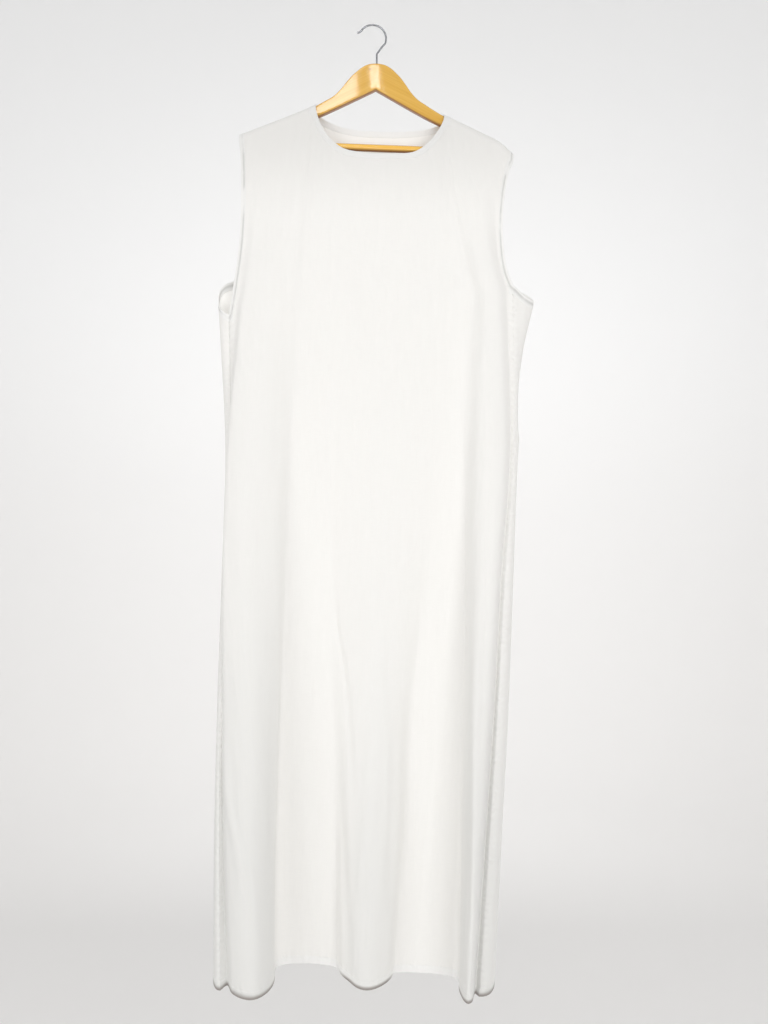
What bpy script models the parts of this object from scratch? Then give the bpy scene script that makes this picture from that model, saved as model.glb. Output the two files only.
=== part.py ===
"""A long white sleeveless under dress, hanging nearly flat from a varnished wooden hanger.

The frame: X runs to the right as seen from the front, Y away from the viewer and Z up, and the origin is
at the inside top of the wire hook's bend, where a rail or a nail carries the hanger.
Sizes are in millimetres and are turned to metres where a mesh is made. "Forward" is a distance towards
the viewer, so it is minus Y.
"""

import math

import bmesh
import bpy
from mathutils import Matrix, Vector

MM = 0.001
FORWARD = Vector((0.0, -1.0, 0.0))
UP = Vector((0.0, 0.0, 1.0))

# Cloth
WALL = 2.0
SEAM_GAP = 0.4
BAND_WIDTH = 9.0
BAND_LIFT = 0.3
BAND_WALL = 0.9
HANDLE = 0.35
TABLE_STEPS = 6
NECK_STEPS = 5
TANGENT_STEP = 0.01
CLOTH_ROUGHNESS = 0.85

# Hook, bent from one wire
WIRE_RADIUS = 1.6
BEND_RADIUS = 23.5
BEND_CENTRE_DROP = BEND_RADIUS - WIRE_RADIUS
BEND_START = math.radians(-22.0)
BEND_END = math.radians(147.0)
BEND_POINTS = 16
# Across and up from the shank's top, where the wire swings out into the bend
HOOK_SWEEP = ((0.0, 0.0), (4.0, 6.4), (9.6, 14.0))
# Across and up from the bend's end, where the tip turns away
HOOK_FLICK = ((-2.6, -2.0), (-6.6, -2.6))
SHANK_ACROSS = 7.6
SHANK_TOP = -49.5
WIRE_IN_WOOD = 12.0
HOLE_PLAY = 0.3
HOLE_ABOVE = 10.0
HOLE_SIDES = 12
WIRE_ROUGHNESS = 0.12

# Wooden hanger, as one half, measured from the top of its crown
CROWN_ACROSS = 7.6
CROWN_HEIGHT = -66.3
TILT = math.radians(2.2)
ARM_REACH = 208.0
ARM_FORWARD = 8.0
WOOD_THICK = 12.4
BAR_DROP = 146.6
BAR_RADIUS = 6.0
BAR_HALF = 189.0
BAR_SIDES = 16
BAR_EDGE = math.radians(40.0)
SOCKET_PLAY = 0.3
SOCKET_MOUTH = 20.0

# Out from the crown, drop of the upper edge, drop of the lower edge, share of the full thickness
WOOD_ROWS = (
    # out, upper, lower, thick
    (0.0, 0.0, 45.6, 1.00),
    (7.0, 0.6, 49.4, 1.00),
    (14.0, 2.0, 53.0, 1.00),
    (21.0, 5.2, 56.8, 1.00),
    (27.5, 9.6, 60.2, 1.00),
    (34.0, 15.4, 63.6, 1.00),
    (41.5, 22.6, 67.6, 1.00),
    (51.5, 35.2, 72.9, 1.00),
    (60.0, 46.8, 77.4, 1.00),
    (72.0, 59.2, 83.6, 1.00),
    (87.0, 68.8, 91.4, 1.00),
    (103.0, 77.9, 99.4, 1.00),
    (117.0, 85.3, 106.0, 1.00),
    (140.0, 96.0, 117.0, 1.00),
    (165.0, 107.4, 130.0, 1.00),
    (180.0, 114.3, 143.0, 1.00),
    (191.0, 119.3, 153.0, 1.00),
    (199.0, 123.5, 154.4, 0.94),
    (205.0, 128.5, 151.0, 0.72),
    (208.0, 134.0, 146.0, 0.40),
)
WOOD_SIDES = 12
WOOD_SQUARENESS = 0.62
WOOD_ROUGHNESS = 0.28

# The dress over the shoulders. Each seam runs along the upper edge of an arm and past its end.
SHOULDER_LIFT = 1.6
NECK_LEFT = -97.0
NECK_RIGHT = 123.0
TIP_LEFT = -226.0
TIP_RIGHT = 240.0
DROOP_START = 213.0
DROOP = 12.0
DROOP_POWER = 1.5
SHOULDER_SLOPE = 0.46
SLOPE_STEP = 2.0
STRAIGHT_START = 117.0
TILT_ROUNDS = 4
# The cloth rolls over the arm in these steps: forward and down from the seam
ROLL = ((0.0, 0.0), (2.4, 0.2), (7.6, 3.2), (10.0, 10.0))
# How far the row below the roll lies under it, and how far along the neck's edge from the roll's end
# the next two places of its band are
BAND_DROP = 6.0
CORNER_STEPS = (6.0, 10.5)

# Neck edges between the ends of the roll over the two arms: across, height, forward
FRONT_NECK = (
    (-95.2, -156.0, 13.6),
    (-91.5, -167.0, 15.0),
    (-85.0, -182.0, 17.0),
    (-75.0, -197.0, 18.5),
    (-63.0, -209.5, 19.5),
    (-50.0, -218.5, 20.0),
    (-36.0, -224.0, 20.5),
    (-10.0, -227.4, 21.0),
    (24.0, -228.8, 21.0),
    (56.0, -228.8, 21.0),
    (72.0, -226.0, 20.5),
    (86.0, -216.5, 20.0),
    (100.0, -204.0, 18.5),
    (110.0, -190.5, 17.0),
    (117.5, -178.0, 15.2),
    (121.4, -171.0, 13.6),
)
BACK_NECK = (
    (-93.4, -152.2, -8.6),
    (-86.0, -157.8, -9.0),
    (-76.0, -162.6, -9.0),
    (-54.0, -171.5, -8.5),
    (-24.0, -177.0, -9.0),
    (10.0, -179.0, -9.0),
    (44.0, -179.6, -9.0),
    (76.0, -178.0, -8.5),
    (100.0, -174.0, -8.8),
    (113.0, -170.4, -8.6),
)

# Armhole edges below the shoulder: height, across, forward
FRONT_ARMHOLE_LEFT = (
    (-222.0, -223.4, 21.0),
    (-272.0, -222.0, 20.5),
    (-343.0, -223.0, 20.0),
    (-372.0, -224.8, 20.0),
    (-416.0, -229.8, 19.0),
    (-442.0, -234.2, 17.0),
    (-476.0, -240.0, 14.0),
    (-499.0, -244.7, 12.0),
)
FRONT_ARMHOLE_RIGHT = (
    (-247.0, 234.0, 21.0),
    (-272.0, 229.0, 20.5),
    (-290.0, 225.6, 20.0),
    (-314.0, 223.0, 20.0),
    (-348.0, 221.3, 20.0),
    (-374.0, 222.2, 20.0),
    (-411.0, 225.6, 21.0),
    (-435.0, 230.9, 22.5),
    (-452.0, 239.0, 24.0),
)
BACK_ARMHOLE_LEFT = (
    (-222.0, -219.5, -1.0),
    (-262.0, -215.6, -7.0),
    (-320.0, -213.6, -11.0),
    (-370.0, -214.6, -13.0),
    (-405.0, -219.6, -12.0),
    (-426.0, -226.0, -11.5),
    (-437.0, -234.0, -11.0),
)
BACK_ARMHOLE_RIGHT = (
    (-246.0, 231.6, -2.0),
    (-275.0, 224.6, -8.0),
    (-312.0, 218.4, -11.0),
    (-350.0, 214.4, -12.0),
    (-390.0, 215.0, -13.0),
    (-424.0, 222.0, -12.5),
    (-450.0, 236.0, -12.0),
)
YOKE_STEPS = (0.10, 0.24, 0.40, 0.58, 0.78)
YOKE_EASE = 1.3
# How fast an armhole's own shape fades away from it into the yoke
YOKE_FADE = 3
# The most of the cloth beside an armhole that its band may take
BAND_SHARE_MOST = 0.9

# Front panel: the folds' stations, from the left side seam to the right one
FRONT_STATIONS = (
    "seam_l", "crease_l", "edge_l", "crest_l", "flank_l", "foot_l", "foot_cl", "rise_c",
    "crest_c", "fall_c", "foot_cr", "foot_r", "flank_r", "crest_r", "edge_r", "crease_r", "seam_r",
)
FRONT_SPANS = (2, 2, 3, 3, 3, 3, 3, 3, 3, 3, 3, 3, 3, 3, 2, 2)
# A row for each level: what it gives, then one number for each station
FRONT_LEVELS = (
    ("underarm", (
        ("height", (-499, -497, -496, -493, -490, -488, -484, -482,
                    -476, -470, -467, -464, -462, -459, -456, -454, -452)),
        ("across", (-244.7, -229, -221, -186, -140, -122, -80, -55,
                    20, 90, 124, 152, 167, 190, 214, 227.5, 239)),
        ("forward", (12, 19, 29, 36, 29, 24, 22, 23, 26, 26, 24, 22, 26, 38, 36, 23, 24)),
    )),
    ("waist", (
        ("height", (-730,) * 17),
        ("across", (-241, -243, -243.5, -204, -156, -136, -85, -56,
                    15, 85, 112, 143, 157, 184, 224, 233, 239)),
        ("forward", (18, 28, 41, 53, 37, 20, 17, 19, 28, 27, 22, 20, 31, 52, 46, 29, 33)),
    )),
    ("hip", (
        ("height", (-945,) * 17),
        ("across", (-246, -248, -247, -202, -156, -145, -72, -52,
                    8, 74, 98, 155, 162, 181, 209, 216, 221.5)),
        ("forward", (40, 49, 60, 71, 45, 18, 15, 22, 38, 25, 16, 16, 38, 66, 60, 41, 47)),
    )),
    ("knee", (
        ("height", (-1160,) * 17),
        ("across", (-251, -247.5, -243, -198, -155, -152, -72, -50,
                    5, 50, 69, 149.5, 155, 167, 196, 203.5, 208.5)),
        ("forward", (67, 61, 74, 89, 52, 16, 14, 27, 46, 28, 14, 14, 40, 80, 70, 50, 58)),
    )),
    ("calf", (
        ("height", (-1400,) * 17),
        ("across", (-249, -244.5, -237, -196, -159, -158, -66, -53,
                    -4, 44, 60, 146, 149.5, 161, 179, 186, 192)),
        ("forward", (84, 67, 88, 104, 60, 14, 14, 34, 60, 34, 14, 14, 50, 94, 84, 57, 66)),
    )),
    ("hem", (
        ("height", (-1613, -1613, -1615, -1618, -1615, -1607, -1610, -1615,
                    -1626, -1619, -1620, -1628, -1630, -1630, -1631, -1631, -1633)),
        ("across", (-246, -236, -228, -191, -161, -159, -63, -50,
                    -10, 33, 41, 142.5, 145, 154, 164, 170, 176.5)),
        ("forward", (92, 68, 95, 114, 70, 15, 14, 40, 68, 40, 15, 14, 58, 102, 90, 62, 72)),
    )),
)
# Where the stations' columns reach the shoulder seams
FRONT_SHOULDER_LEFT = {"seam_l": TIP_LEFT, "crease_l": -212.0, "edge_l": -193.0, "crest_l": -150.0}
FRONT_SHOULDER_RIGHT = {"crest_r": 168.0, "edge_r": 204.0, "crease_r": 225.0, "seam_r": TIP_RIGHT}

# Back panel: from the left side seam round the outside and behind to the right side seam
BACK_STATIONS = (
    "seam_l", "strip_l", "outer_l", "turn_l", "back_1", "back_2", "back_3", "back_4",
    "back_5", "turn_r", "outer_r", "strip_r", "seam_r",
)
BACK_SPANS = (2, 2, 2, 2, 5, 8, 8, 5, 2, 2, 2, 2)
BACK_LEVELS = (
    ("underarm", (
        ("height", (-499, -492, -478, -447, -437, -470, -474, -466, -450, -462, -476, -464, -452)),
        ("across", (-244.7, -256, -264.5, -261, -234, -130, 5, 140, 236, 268, 278, 253, 239)),
        ("forward", (12, 9, 1, -7, -11, -13, -13, -13, -12, -8, 3, 18, 24)),
    )),
    ("waist", (
        ("height", (-730,) * 13),
        ("across", (-241, -248, -252, -248, -226, -120, 5, 130, 222, 245, 250, 246, 239)),
        ("forward", (18, 13, 3, -8, -13, -10, -14, -10, -13, -8, 6, 25, 33)),
    )),
    ("hip", (
        ("height", (-945,) * 13),
        ("across", (-246, -252, -256, -252, -228, -125, 0, 120, 212, 235, 240.5, 234, 221.5)),
        ("forward", (40, 34, 16, -6, -13, -6, -14, -7, -13, -6, 14, 40, 47)),
    )),
    ("knee", (
        ("height", (-1160,) * 13),
        ("across", (-251, -256, -259.5, -255, -230, -130, -5, 110, 200, 224, 231.5, 223, 208.5)),
        ("forward", (67, 60, 34, -2, -13, -1, -13, -2, -13, -3, 24, 52, 58)),
    )),
    ("calf", (
        ("height", (-1400,) * 13),
        ("across", (-249, -257, -263.5, -258, -232, -136, -8, 100, 188, 212, 218.5, 209, 192)),
        ("forward", (84, 79, 48, 2, -13, 0, -12, 0, -13, -1, 28, 59, 66)),
    )),
    ("hem", (
        ("height", (-1613, -1612, -1609, -1607, -1608, -1611, -1614, -1618,
                    -1622, -1625, -1629, -1633, -1633)),
        ("across", (-246, -255, -263.5, -258, -232, -138, -10, 95, 180, 202, 206.5, 195, 176.5)),
        ("forward", (92, 86, 58, 6, -13, 2, -11, 2, -13, 1, 34, 64, 72)),
    )),
)
BACK_SHOULDER_LEFT = {"back_1": TIP_LEFT}
BACK_SHOULDER_RIGHT = {"back_5": TIP_RIGHT}
LEVEL_ROWS = (4, 4, 4, 4, 4)
HEM_BAND = 10.0

# Linear colours of the finishes
CLOTH_WHITE = (0.86, 0.86, 0.84)
BAND_WHITE = (0.88, 0.88, 0.86)
WOOD_HONEY = (0.72, 0.40, 0.10)
CHROME = (0.62, 0.62, 0.63)


def material(name, colour, roughness, metallic=0.0):
    """A plain finish with the part's colour."""
    finish = bpy.data.materials.new(name)
    finish.use_nodes = True
    shader = finish.node_tree.nodes["Principled BSDF"]
    shader.inputs["Base Color"].default_value = (*colour, 1.0)
    shader.inputs["Roughness"].default_value = roughness
    shader.inputs["Metallic"].default_value = metallic
    return finish


def add_object(name, mesh, finish, collection):
    """Put a finished mesh in the scene under its node's name."""
    made = bpy.data.objects.new(name, mesh)
    mesh.materials.append(finish)
    collection.objects.link(made)
    return made


def point(across, height, forward):
    """A place in the garment's own terms, as a vector in millimetres."""
    return Vector((across, -forward, height))


def directions(places):
    """The way the curve runs through each place and the length its handles take there."""
    found = []
    for index, place in enumerate(places):
        before = place - places[index - 1] if index else None
        after = places[index + 1] - place if index + 1 < len(places) else None
        if before is None:
            before = after
        if after is None:
            after = before
        way = before.normalized() + after.normalized()
        if way.length < 1e-6:
            way = after
        reach = HANDLE * min(before.length, after.length)
        found.append(way.normalized() * reach)
    return found


def curve_through(places, counts, before=None, after=None):
    """Points of a smooth curve through places, counts[i] steps in each span.

    before and after are places past the two ends, which only steer the curve's ends.
    """
    guided = list(places)
    if before is not None:
        guided = [before, *guided]
    if after is not None:
        guided = [*guided, after]
    ways = directions(guided)
    if before is not None:
        ways = ways[1:]
    points = [places[0].copy()]
    for index, count in enumerate(counts):
        start, end = places[index], places[index + 1]
        start_handle = start + ways[index]
        end_handle = end - ways[index + 1]
        for step in range(1, count + 1):
            t = step / count
            s = 1.0 - t
            points.append(
                start * s**3 + start_handle * 3 * s * s * t + end_handle * 3 * s * t * t + end * t**3
            )
    return points


def along(polyline, share):
    """The point at a share, 0 to 1, of a polyline's length."""
    lengths = [(b - a).length for a, b in zip(polyline, polyline[1:])]
    wanted = share * sum(lengths)
    for start, end, length in zip(polyline, polyline[1:], lengths):
        if wanted <= length:
            return start.lerp(end, wanted / length)
        wanted -= length
    return polyline[-1].copy()


def wood_edges(out):
    """Drop of the hanger's upper and lower edges at a distance from its middle."""
    out = abs(out)
    for near, far in zip(WOOD_ROWS, WOOD_ROWS[1:]):
        if out <= far[0]:
            share = (out - near[0]) / (far[0] - near[0])
            return near[1] + (far[1] - near[1]) * share, near[2] + (far[2] - near[2]) * share
    return WOOD_ROWS[-1][1], WOOD_ROWS[-1][2]


def arm_forward(out):
    """How far the arm's middle has come forward at a distance from the crown."""
    return ARM_FORWARD * (out / ARM_REACH) ** 2


def shoulder_point(across):
    """The shoulder seam at a place across, just above the hanger's arm or in line with it."""
    out = across - CROWN_ACROSS
    for _ in range(TILT_ROUNDS):
        upper = wood_edges(min(abs(out), STRAIGHT_START))[0]
        upper += max(abs(out) - STRAIGHT_START, 0.0) * SHOULDER_SLOPE
        out = (across - CROWN_ACROSS + upper * math.sin(TILT)) / math.cos(TILT)
    height = CROWN_HEIGHT - upper * math.cos(TILT) - out * math.sin(TILT) + SHOULDER_LIFT
    if across > DROOP_START:
        height -= DROOP * ((across - DROOP_START) / (TIP_RIGHT - DROOP_START)) ** DROOP_POWER
    return point(across, height, arm_forward(abs(out)))


def shoulder_normal(across):
    """The way out of the cloth at the seam: square to its slope."""
    slope = shoulder_point(across + SLOPE_STEP) - shoulder_point(across - SLOPE_STEP)
    return Vector((-slope.z, 0.0, slope.x)).normalized()


def level_places(levels, name):
    """The stations' places at one named level."""
    rows = dict(dict(levels)[name])
    return [point(a, h, f) for h, a, f in zip(rows["height"], rows["across"], rows["forward"])]


def at_height(table, height):
    """Across and forward of an armhole's edge at a height, between its rows."""
    for upper, lower in zip(table, table[1:]):
        if height >= lower[0]:
            share = min(max((upper[0] - height) / (upper[0] - lower[0]), 0.0), 1.0)
            return (
                upper[1] + (lower[1] - upper[1]) * share,
                upper[2] + (lower[2] - upper[2]) * share,
            )
    return table[-1][1], table[-1][2]


def smooth_table(table):
    """An armhole's table with more rows, read from a smooth curve through its own."""
    places = [point(a, h, f) for h, a, f in table]
    fine = curve_through(places, (TABLE_STEPS,) * (len(places) - 1))
    return [(p.z, p.x, -p.y) for p in fine]


class Panel:
    """One cut piece of the dress: a grid of points with rows down and columns across it."""

    def __init__(self, name, stations, spans, levels, other_levels, side):
        self.name = name
        self.side = side
        self.columns = sum(spans) + 1
        self.marks = {station: sum(spans[:index]) for index, station in enumerate(stations)}
        self.level_rows = []
        for level, _ in levels:
            places = level_places(levels, level)
            other = level_places(other_levels, level)
            self.level_rows.append(curve_through(places, spans, before=other[1], after=other[-2]))

    def lower_rows(self):
        """Rows from the underarm line down to the hem, by smooth columns through the levels."""
        columns = []
        for column in range(self.columns):
            places = [row[column] for row in self.level_rows]
            columns.append(curve_through(places, LEVEL_ROWS))
        return [[column[row] for column in columns] for row in range(len(columns[0]))]

    def shoulder_places(self, shoulders):
        """Where each column on the two shoulders meets the seam, across."""
        left, right = shoulders
        left_marks = [*(self.marks[station] for station in left), self.neck_first - 1]
        left_values = [*left.values(), NECK_LEFT - BAND_WIDTH]
        right_marks = [self.neck_last + 1, *(self.marks[station] for station in right)]
        right_values = [NECK_RIGHT + BAND_WIDTH, *right.values()]
        places = {self.neck_first: NECK_LEFT, self.neck_last: NECK_RIGHT}
        for column in range(self.first, self.neck_first):
            places[column] = self.between(column, left_marks, left_values)
        for column in range(self.neck_last + 1, self.last + 1):
            places[column] = self.between(column, right_marks, right_values)
        return places

    def yoke_rows(self, neck, shoulders, armholes):
        """Rows from the shoulder seams down to the underarm line.

        The first rows roll over the arms. The last of them holds the neck's free edge too, and the
        row under it lies BAND_WIDTH out from that edge.
        """
        first, last = self.first, self.last
        underarm = self.level_rows[0]
        places = self.shoulder_places(shoulders)
        rows = []
        for forward, down in ROLL:
            move = FORWARD * self.side * forward - UP * down
            rows.append({column: self.seam(across) + move for column, across in places.items()})
        edge, outer = self.neck_rows(neck, rows)
        rows[-1].update(edge)
        below = {column: place - UP * BAND_DROP for column, place in rows[-1].items()}
        below.update(outer)
        rows.append(below)
        head = rows[-1]
        tables = [smooth_table(table) for table in armholes]
        for share in YOKE_STEPS:
            row = {}
            ends = []
            for column, table in ((first, tables[0]), (last, tables[1])):
                start, end = head[column], underarm[column]
                height = start.z + (end.z - start.z) * share
                across, forward = at_height(table, height)
                if height > table[0][0]:
                    near = (start.z - height) / (start.z - table[0][0])
                    across = start.x + (table[0][1] - start.x) * near
                    forward = -start.y + (table[0][2] + start.y) * near
                ends.append(point(across, height, forward) - self.hanging(start, end, share))
            for column, start in head.items():
                u = (column - first) / (last - first)
                place = self.hanging(start, underarm[column], share)
                row[column] = place + ends[0] * (1 - u) ** YOKE_FADE + ends[1] * u**YOKE_FADE
            rows.append(row)
        return rows

    @staticmethod
    def hanging(start, end, share):
        """A place between the shoulder and the underarm: the cloth comes away from the arm early."""
        place = start.lerp(end, share)
        place.y = start.y + (end.y - start.y) * (1 - (1 - share) ** YOKE_EASE)
        return place

    def neck_rows(self, neck, rows):
        """The neck's free edge below the roll and the row BAND_WIDTH out from it, by column."""
        first, last = self.neck_first, self.neck_last
        places = [rows[-1][first], *(point(*row) for row in neck), rows[-1][last]]
        steps = (NECK_STEPS,) * (len(places) - 1)
        fine = curve_through(places, steps, before=rows[-2][first], after=rows[-2][last])
        length = sum((b - a).length for a, b in zip(fine, fine[1:]))
        shares = {column: (column - first) / (last - first) for column in range(first, last + 1)}
        edge = {column: along(fine, share) for column, share in shares.items()}
        near, far = (step / length for step in CORNER_STEPS)
        shares.update({first - 1: near, first: far, last: 1 - far, last + 1: 1 - near})
        outer = {}
        for column, share in shares.items():
            behind = along(fine, max(share - TANGENT_STEP, 0.0))
            ahead = along(fine, min(share + TANGENT_STEP, 1.0))
            way = (ahead - behind).cross(FORWARD)
            way.y = 0.0
            outer[column] = along(fine, share) + way.normalized() * BAND_WIDTH
        return edge, outer

    def seam(self, across):
        """The panel's own edge at the shoulder seam."""
        return shoulder_point(across) + FORWARD * self.side * SEAM_GAP / 2

    @staticmethod
    def between(column, marks, values):
        """The value at a column, read between the values at marked columns."""
        for index in range(len(marks) - 1):
            if column <= marks[index + 1]:
                share = (column - marks[index]) / (marks[index + 1] - marks[index])
                return values[index] + (values[index + 1] - values[index]) * share
        return values[-1]

    def build(self, neck, shoulders, armholes, neck_names, yoke_names):
        """Fill the grid: yoke rows over the yoke's columns, then full rows down to the hem.

        neck_names are the stations under the neck's two corners, and yoke_names those that end
        the yoke at the armholes.
        """
        self.neck_names = neck_names
        self.neck_first, self.neck_last = (self.marks[name] for name in neck_names)
        self.first, self.last = (self.marks[name] for name in yoke_names)
        yoke = self.yoke_rows(neck, shoulders, armholes)
        self.rows = yoke + [dict(enumerate(row)) for row in self.lower_rows()]
        self.under_row = len(yoke)
        for row in self.rows[: self.under_row + 1]:
            self.slide(row, self.first, 1)
            self.slide(row, self.last, -1)
        self.insert_band_rows()

    def slide(self, row, edge, step):
        """Move the column next to an armhole's edge to the band's width from it.

        The one after it follows, to halfway between its neighbours.
        """
        line = [row[edge + index * step] for index in range(4)]
        total = sum((b - a).length for a, b in zip(line, line[1:]))
        share = min(BAND_WIDTH / total, BAND_SHARE_MOST)
        row[edge + step] = along(line, share)
        row[edge + 2 * step] = along(line, (1.0 + share) / 2)

    def insert_band_rows(self):
        """Add a row BAND_WIDTH below the underarm line, and one HEM_BAND above the hem."""
        under = self.rows[self.under_row]
        below = self.rows[self.under_row + 1]
        band = {}
        for column in under:
            run = below[column] - under[column]
            band[column] = under[column] + run.normalized() * BAND_WIDTH
        self.rows.insert(self.under_row + 1, band)
        hem = self.rows[-1]
        above = self.rows[-2]
        turn = {}
        for column in hem:
            run = above[column] - hem[column]
            turn[column] = hem[column] + run.normalized() * HEM_BAND
        self.rows.insert(len(self.rows) - 1, turn)

    def has(self, row, column):
        """Whether the grid has a point there."""
        return 0 <= row < len(self.rows) and column in self.rows[row]

    def normal(self, row, column):
        """The way out of the cloth at a grid point, from its neighbours."""
        place = self.rows[row][column]
        right = self.rows[row][column + 1] if self.has(row, column + 1) else place
        left = self.rows[row][column - 1] if self.has(row, column - 1) else place
        down = self.rows[row + 1][column] if self.has(row + 1, column) else place
        above = self.rows[row - 1][column] if self.has(row - 1, column) else place
        return ((down - above).cross(right - left) * self.side).normalized()

    def cell(self, row, column):
        """The four corners of a grid cell, in order round its outward side."""
        corners = [(row, column), (row + 1, column), (row + 1, column + 1), (row, column + 1)]
        if self.side < 0:
            corners.reverse()
        return [(self.name, *corner) for corner in corners]

    def cells(self):
        """Every cell whose four corners are in the grid."""
        found = []
        for row in range(len(self.rows) - 1):
            for column in range(self.columns - 1):
                if all(
                    self.has(r, c)
                    for r in (row, row + 1)
                    for c in (column, column + 1)
                ):
                    found.append((row, column))
        return found


def surface_points(front, back):
    """Every grid point of both panels with its normal; the panels share normals at their seams."""
    normals = {}
    for panel in (front, back):
        for row, points in enumerate(panel.rows):
            for column in points:
                normals[panel.name, row, column] = panel.normal(row, column)
        for column, place in panel.rows[0].items():
            normals[panel.name, 0, column] = shoulder_normal(place.x)
    drop = len(front.rows) - len(back.rows)
    for front_column, back_column in ((0, 0), (front.columns - 1, back.columns - 1)):
        for row in range(front.under_row, len(front.rows)):
            front_key = (front.name, row, front_column)
            back_key = (back.name, row - drop, back_column)
            shared = (normals[front_key] + normals[back_key]).normalized()
            normals[front_key] = shared
            normals[back_key] = shared
    points = {}
    for panel in (front, back):
        for row, places in enumerate(panel.rows):
            for column, place in places.items():
                moved = place
                if row >= panel.under_row and column in (0, panel.columns - 1):
                    inner = panel.rows[row][1 if column == 0 else column - 1]
                    moved = place + (inner - place).normalized() * SEAM_GAP / 2
                points[panel.name, row, column] = (moved, normals[panel.name, row, column])
    return points


def split(points, a, b, c, d):
    """The two triangles of a cell, cut along the diagonal that leaves the larger smallest one."""

    def smallest(triangles):
        areas = []
        for triangle in triangles:
            p, q, r = (points[key][0] for key in triangle)
            areas.append((q - p).cross(r - p).length)
        return min(areas)

    one = ((a, b, c), (a, c, d))
    other = ((b, c, d), (b, d, a))
    return one if smallest(one) >= smallest(other) else other


def cloth_solid(name, points, faces, inner, outer, finish, collection):
    """A closed wall over the given faces, from inner to outer along the points' normals."""
    mesh_maker = bmesh.new()
    low = {}
    high = {}
    for key in dict.fromkeys(key for face in faces for key in face):
        place, normal = points[key]
        low[key] = mesh_maker.verts.new((place + normal * inner) * MM)
        high[key] = mesh_maker.verts.new((place + normal * outer) * MM)
    sides = set()
    for a, b, c, d in faces:
        for face in split(points, a, b, c, d):
            mesh_maker.faces.new([high[key] for key in face])
            mesh_maker.faces.new([low[key] for key in reversed(face)])
        sides.update(((a, b), (b, c), (c, d), (d, a)))
    for start, end in sides:
        if (end, start) not in sides:
            mesh_maker.faces.new((high[end], high[start], low[start], low[end]))
    mesh = bpy.data.meshes.new(name)
    mesh_maker.to_mesh(mesh)
    mesh_maker.free()
    mesh.shade_smooth()
    return add_object(name, mesh, finish, collection)


def panel_faces(panel):
    """Every cell of a panel's grid as a face."""
    return [panel.cell(row, column) for row, column in panel.cells()]


def armhole_faces(front, back, left):
    """The narrow band round one armhole: the panels' cells along its edge, joined at the two seams."""
    faces = []
    front_edge = 0 if left else front.columns - 2
    for row in range(front.under_row + 1):
        faces.append(front.cell(row, front_edge))
    back_edge = back.first if left else back.last - 1
    for row in range(back.under_row + 1):
        faces.append(back.cell(row, back_edge))
    strip = range(0, back.first) if left else range(back.last, back.columns - 1)
    for column in strip:
        faces.append(back.cell(back.under_row, column))
    front_seam = 0 if left else front.columns - 1
    back_seam = 0 if left else back.columns - 1
    joint = [
        (front.name, front.under_row, front_seam),
        (back.name, back.under_row, back_seam),
        (back.name, back.under_row + 1, back_seam),
        (front.name, front.under_row + 1, front_seam),
    ]
    front_outer = (front.name, 0, front_seam)
    front_inner = (front.name, 0, front_seam + (1 if left else -1))
    back_outer = (back.name, 0, back.first if left else back.last)
    back_inner = (back.name, 0, back.first + 1 if left else back.last - 1)
    top = [front_outer, front_inner, back_inner, back_outer]
    if not left:
        joint.reverse()
        top.reverse()
    return [*faces, joint, top]


def neck_faces(front, back):
    """The narrow band round the neck: the cells beside its free edge, joined at the two shoulders."""
    faces = []
    edge_row = len(ROLL) - 1
    for panel in (front, back):
        for row in range(edge_row):
            faces.append(panel.cell(row, panel.neck_first - 1))
            faces.append(panel.cell(row, panel.neck_last))
        for column in range(panel.neck_first - 1, panel.neck_last + 1):
            faces.append(panel.cell(edge_row, column))
    for front_column, back_column in (
        (front.neck_first - 1, back.neck_first - 1),
        (front.neck_last, back.neck_last),
    ):
        faces.append([
            (front.name, 0, front_column),
            (front.name, 0, front_column + 1),
            (back.name, 0, back_column + 1),
            (back.name, 0, back_column),
        ])
    return faces


def build_dress(collection):
    """Front, back and the narrow bands that finish the neck and the armholes."""
    cloth = material("dress_cloth", CLOTH_WHITE, CLOTH_ROUGHNESS)
    band_cloth = material("band_cloth", BAND_WHITE, CLOTH_ROUGHNESS)
    front = Panel("front_panel", FRONT_STATIONS, FRONT_SPANS, FRONT_LEVELS, BACK_LEVELS, 1)
    back = Panel("back_panel", BACK_STATIONS, BACK_SPANS, BACK_LEVELS, FRONT_LEVELS, -1)
    front.build(
        FRONT_NECK, (FRONT_SHOULDER_LEFT, FRONT_SHOULDER_RIGHT),
        (FRONT_ARMHOLE_LEFT, FRONT_ARMHOLE_RIGHT), ("flank_l", "flank_r"), ("seam_l", "seam_r"),
    )
    back.build(
        BACK_NECK, (BACK_SHOULDER_LEFT, BACK_SHOULDER_RIGHT),
        (BACK_ARMHOLE_LEFT, BACK_ARMHOLE_RIGHT), ("back_2", "back_4"), ("back_1", "back_5"),
    )
    points = surface_points(front, back)
    half = WALL / 2
    for panel in (front, back):
        cloth_solid(panel.name, points, panel_faces(panel), -half, half, cloth, collection)
    low = half + BAND_LIFT
    high = low + BAND_WALL
    bands = {
        "neck_band": neck_faces(front, back),
        "armhole_band_left": armhole_faces(front, back, True),
        "armhole_band_right": armhole_faces(front, back, False),
    }
    for name, faces in bands.items():
        cloth_solid(name, points, faces, low, high, band_cloth, collection)


def hanger_place():
    """Where the hanger's own frame stands: at the top of its crown, leaning down to the right."""
    turn = Matrix.Rotation(TILT, 4, "Y")
    return Matrix.Translation(point(CROWN_ACROSS, CROWN_HEIGHT, 0.0) * MM) @ turn


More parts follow.
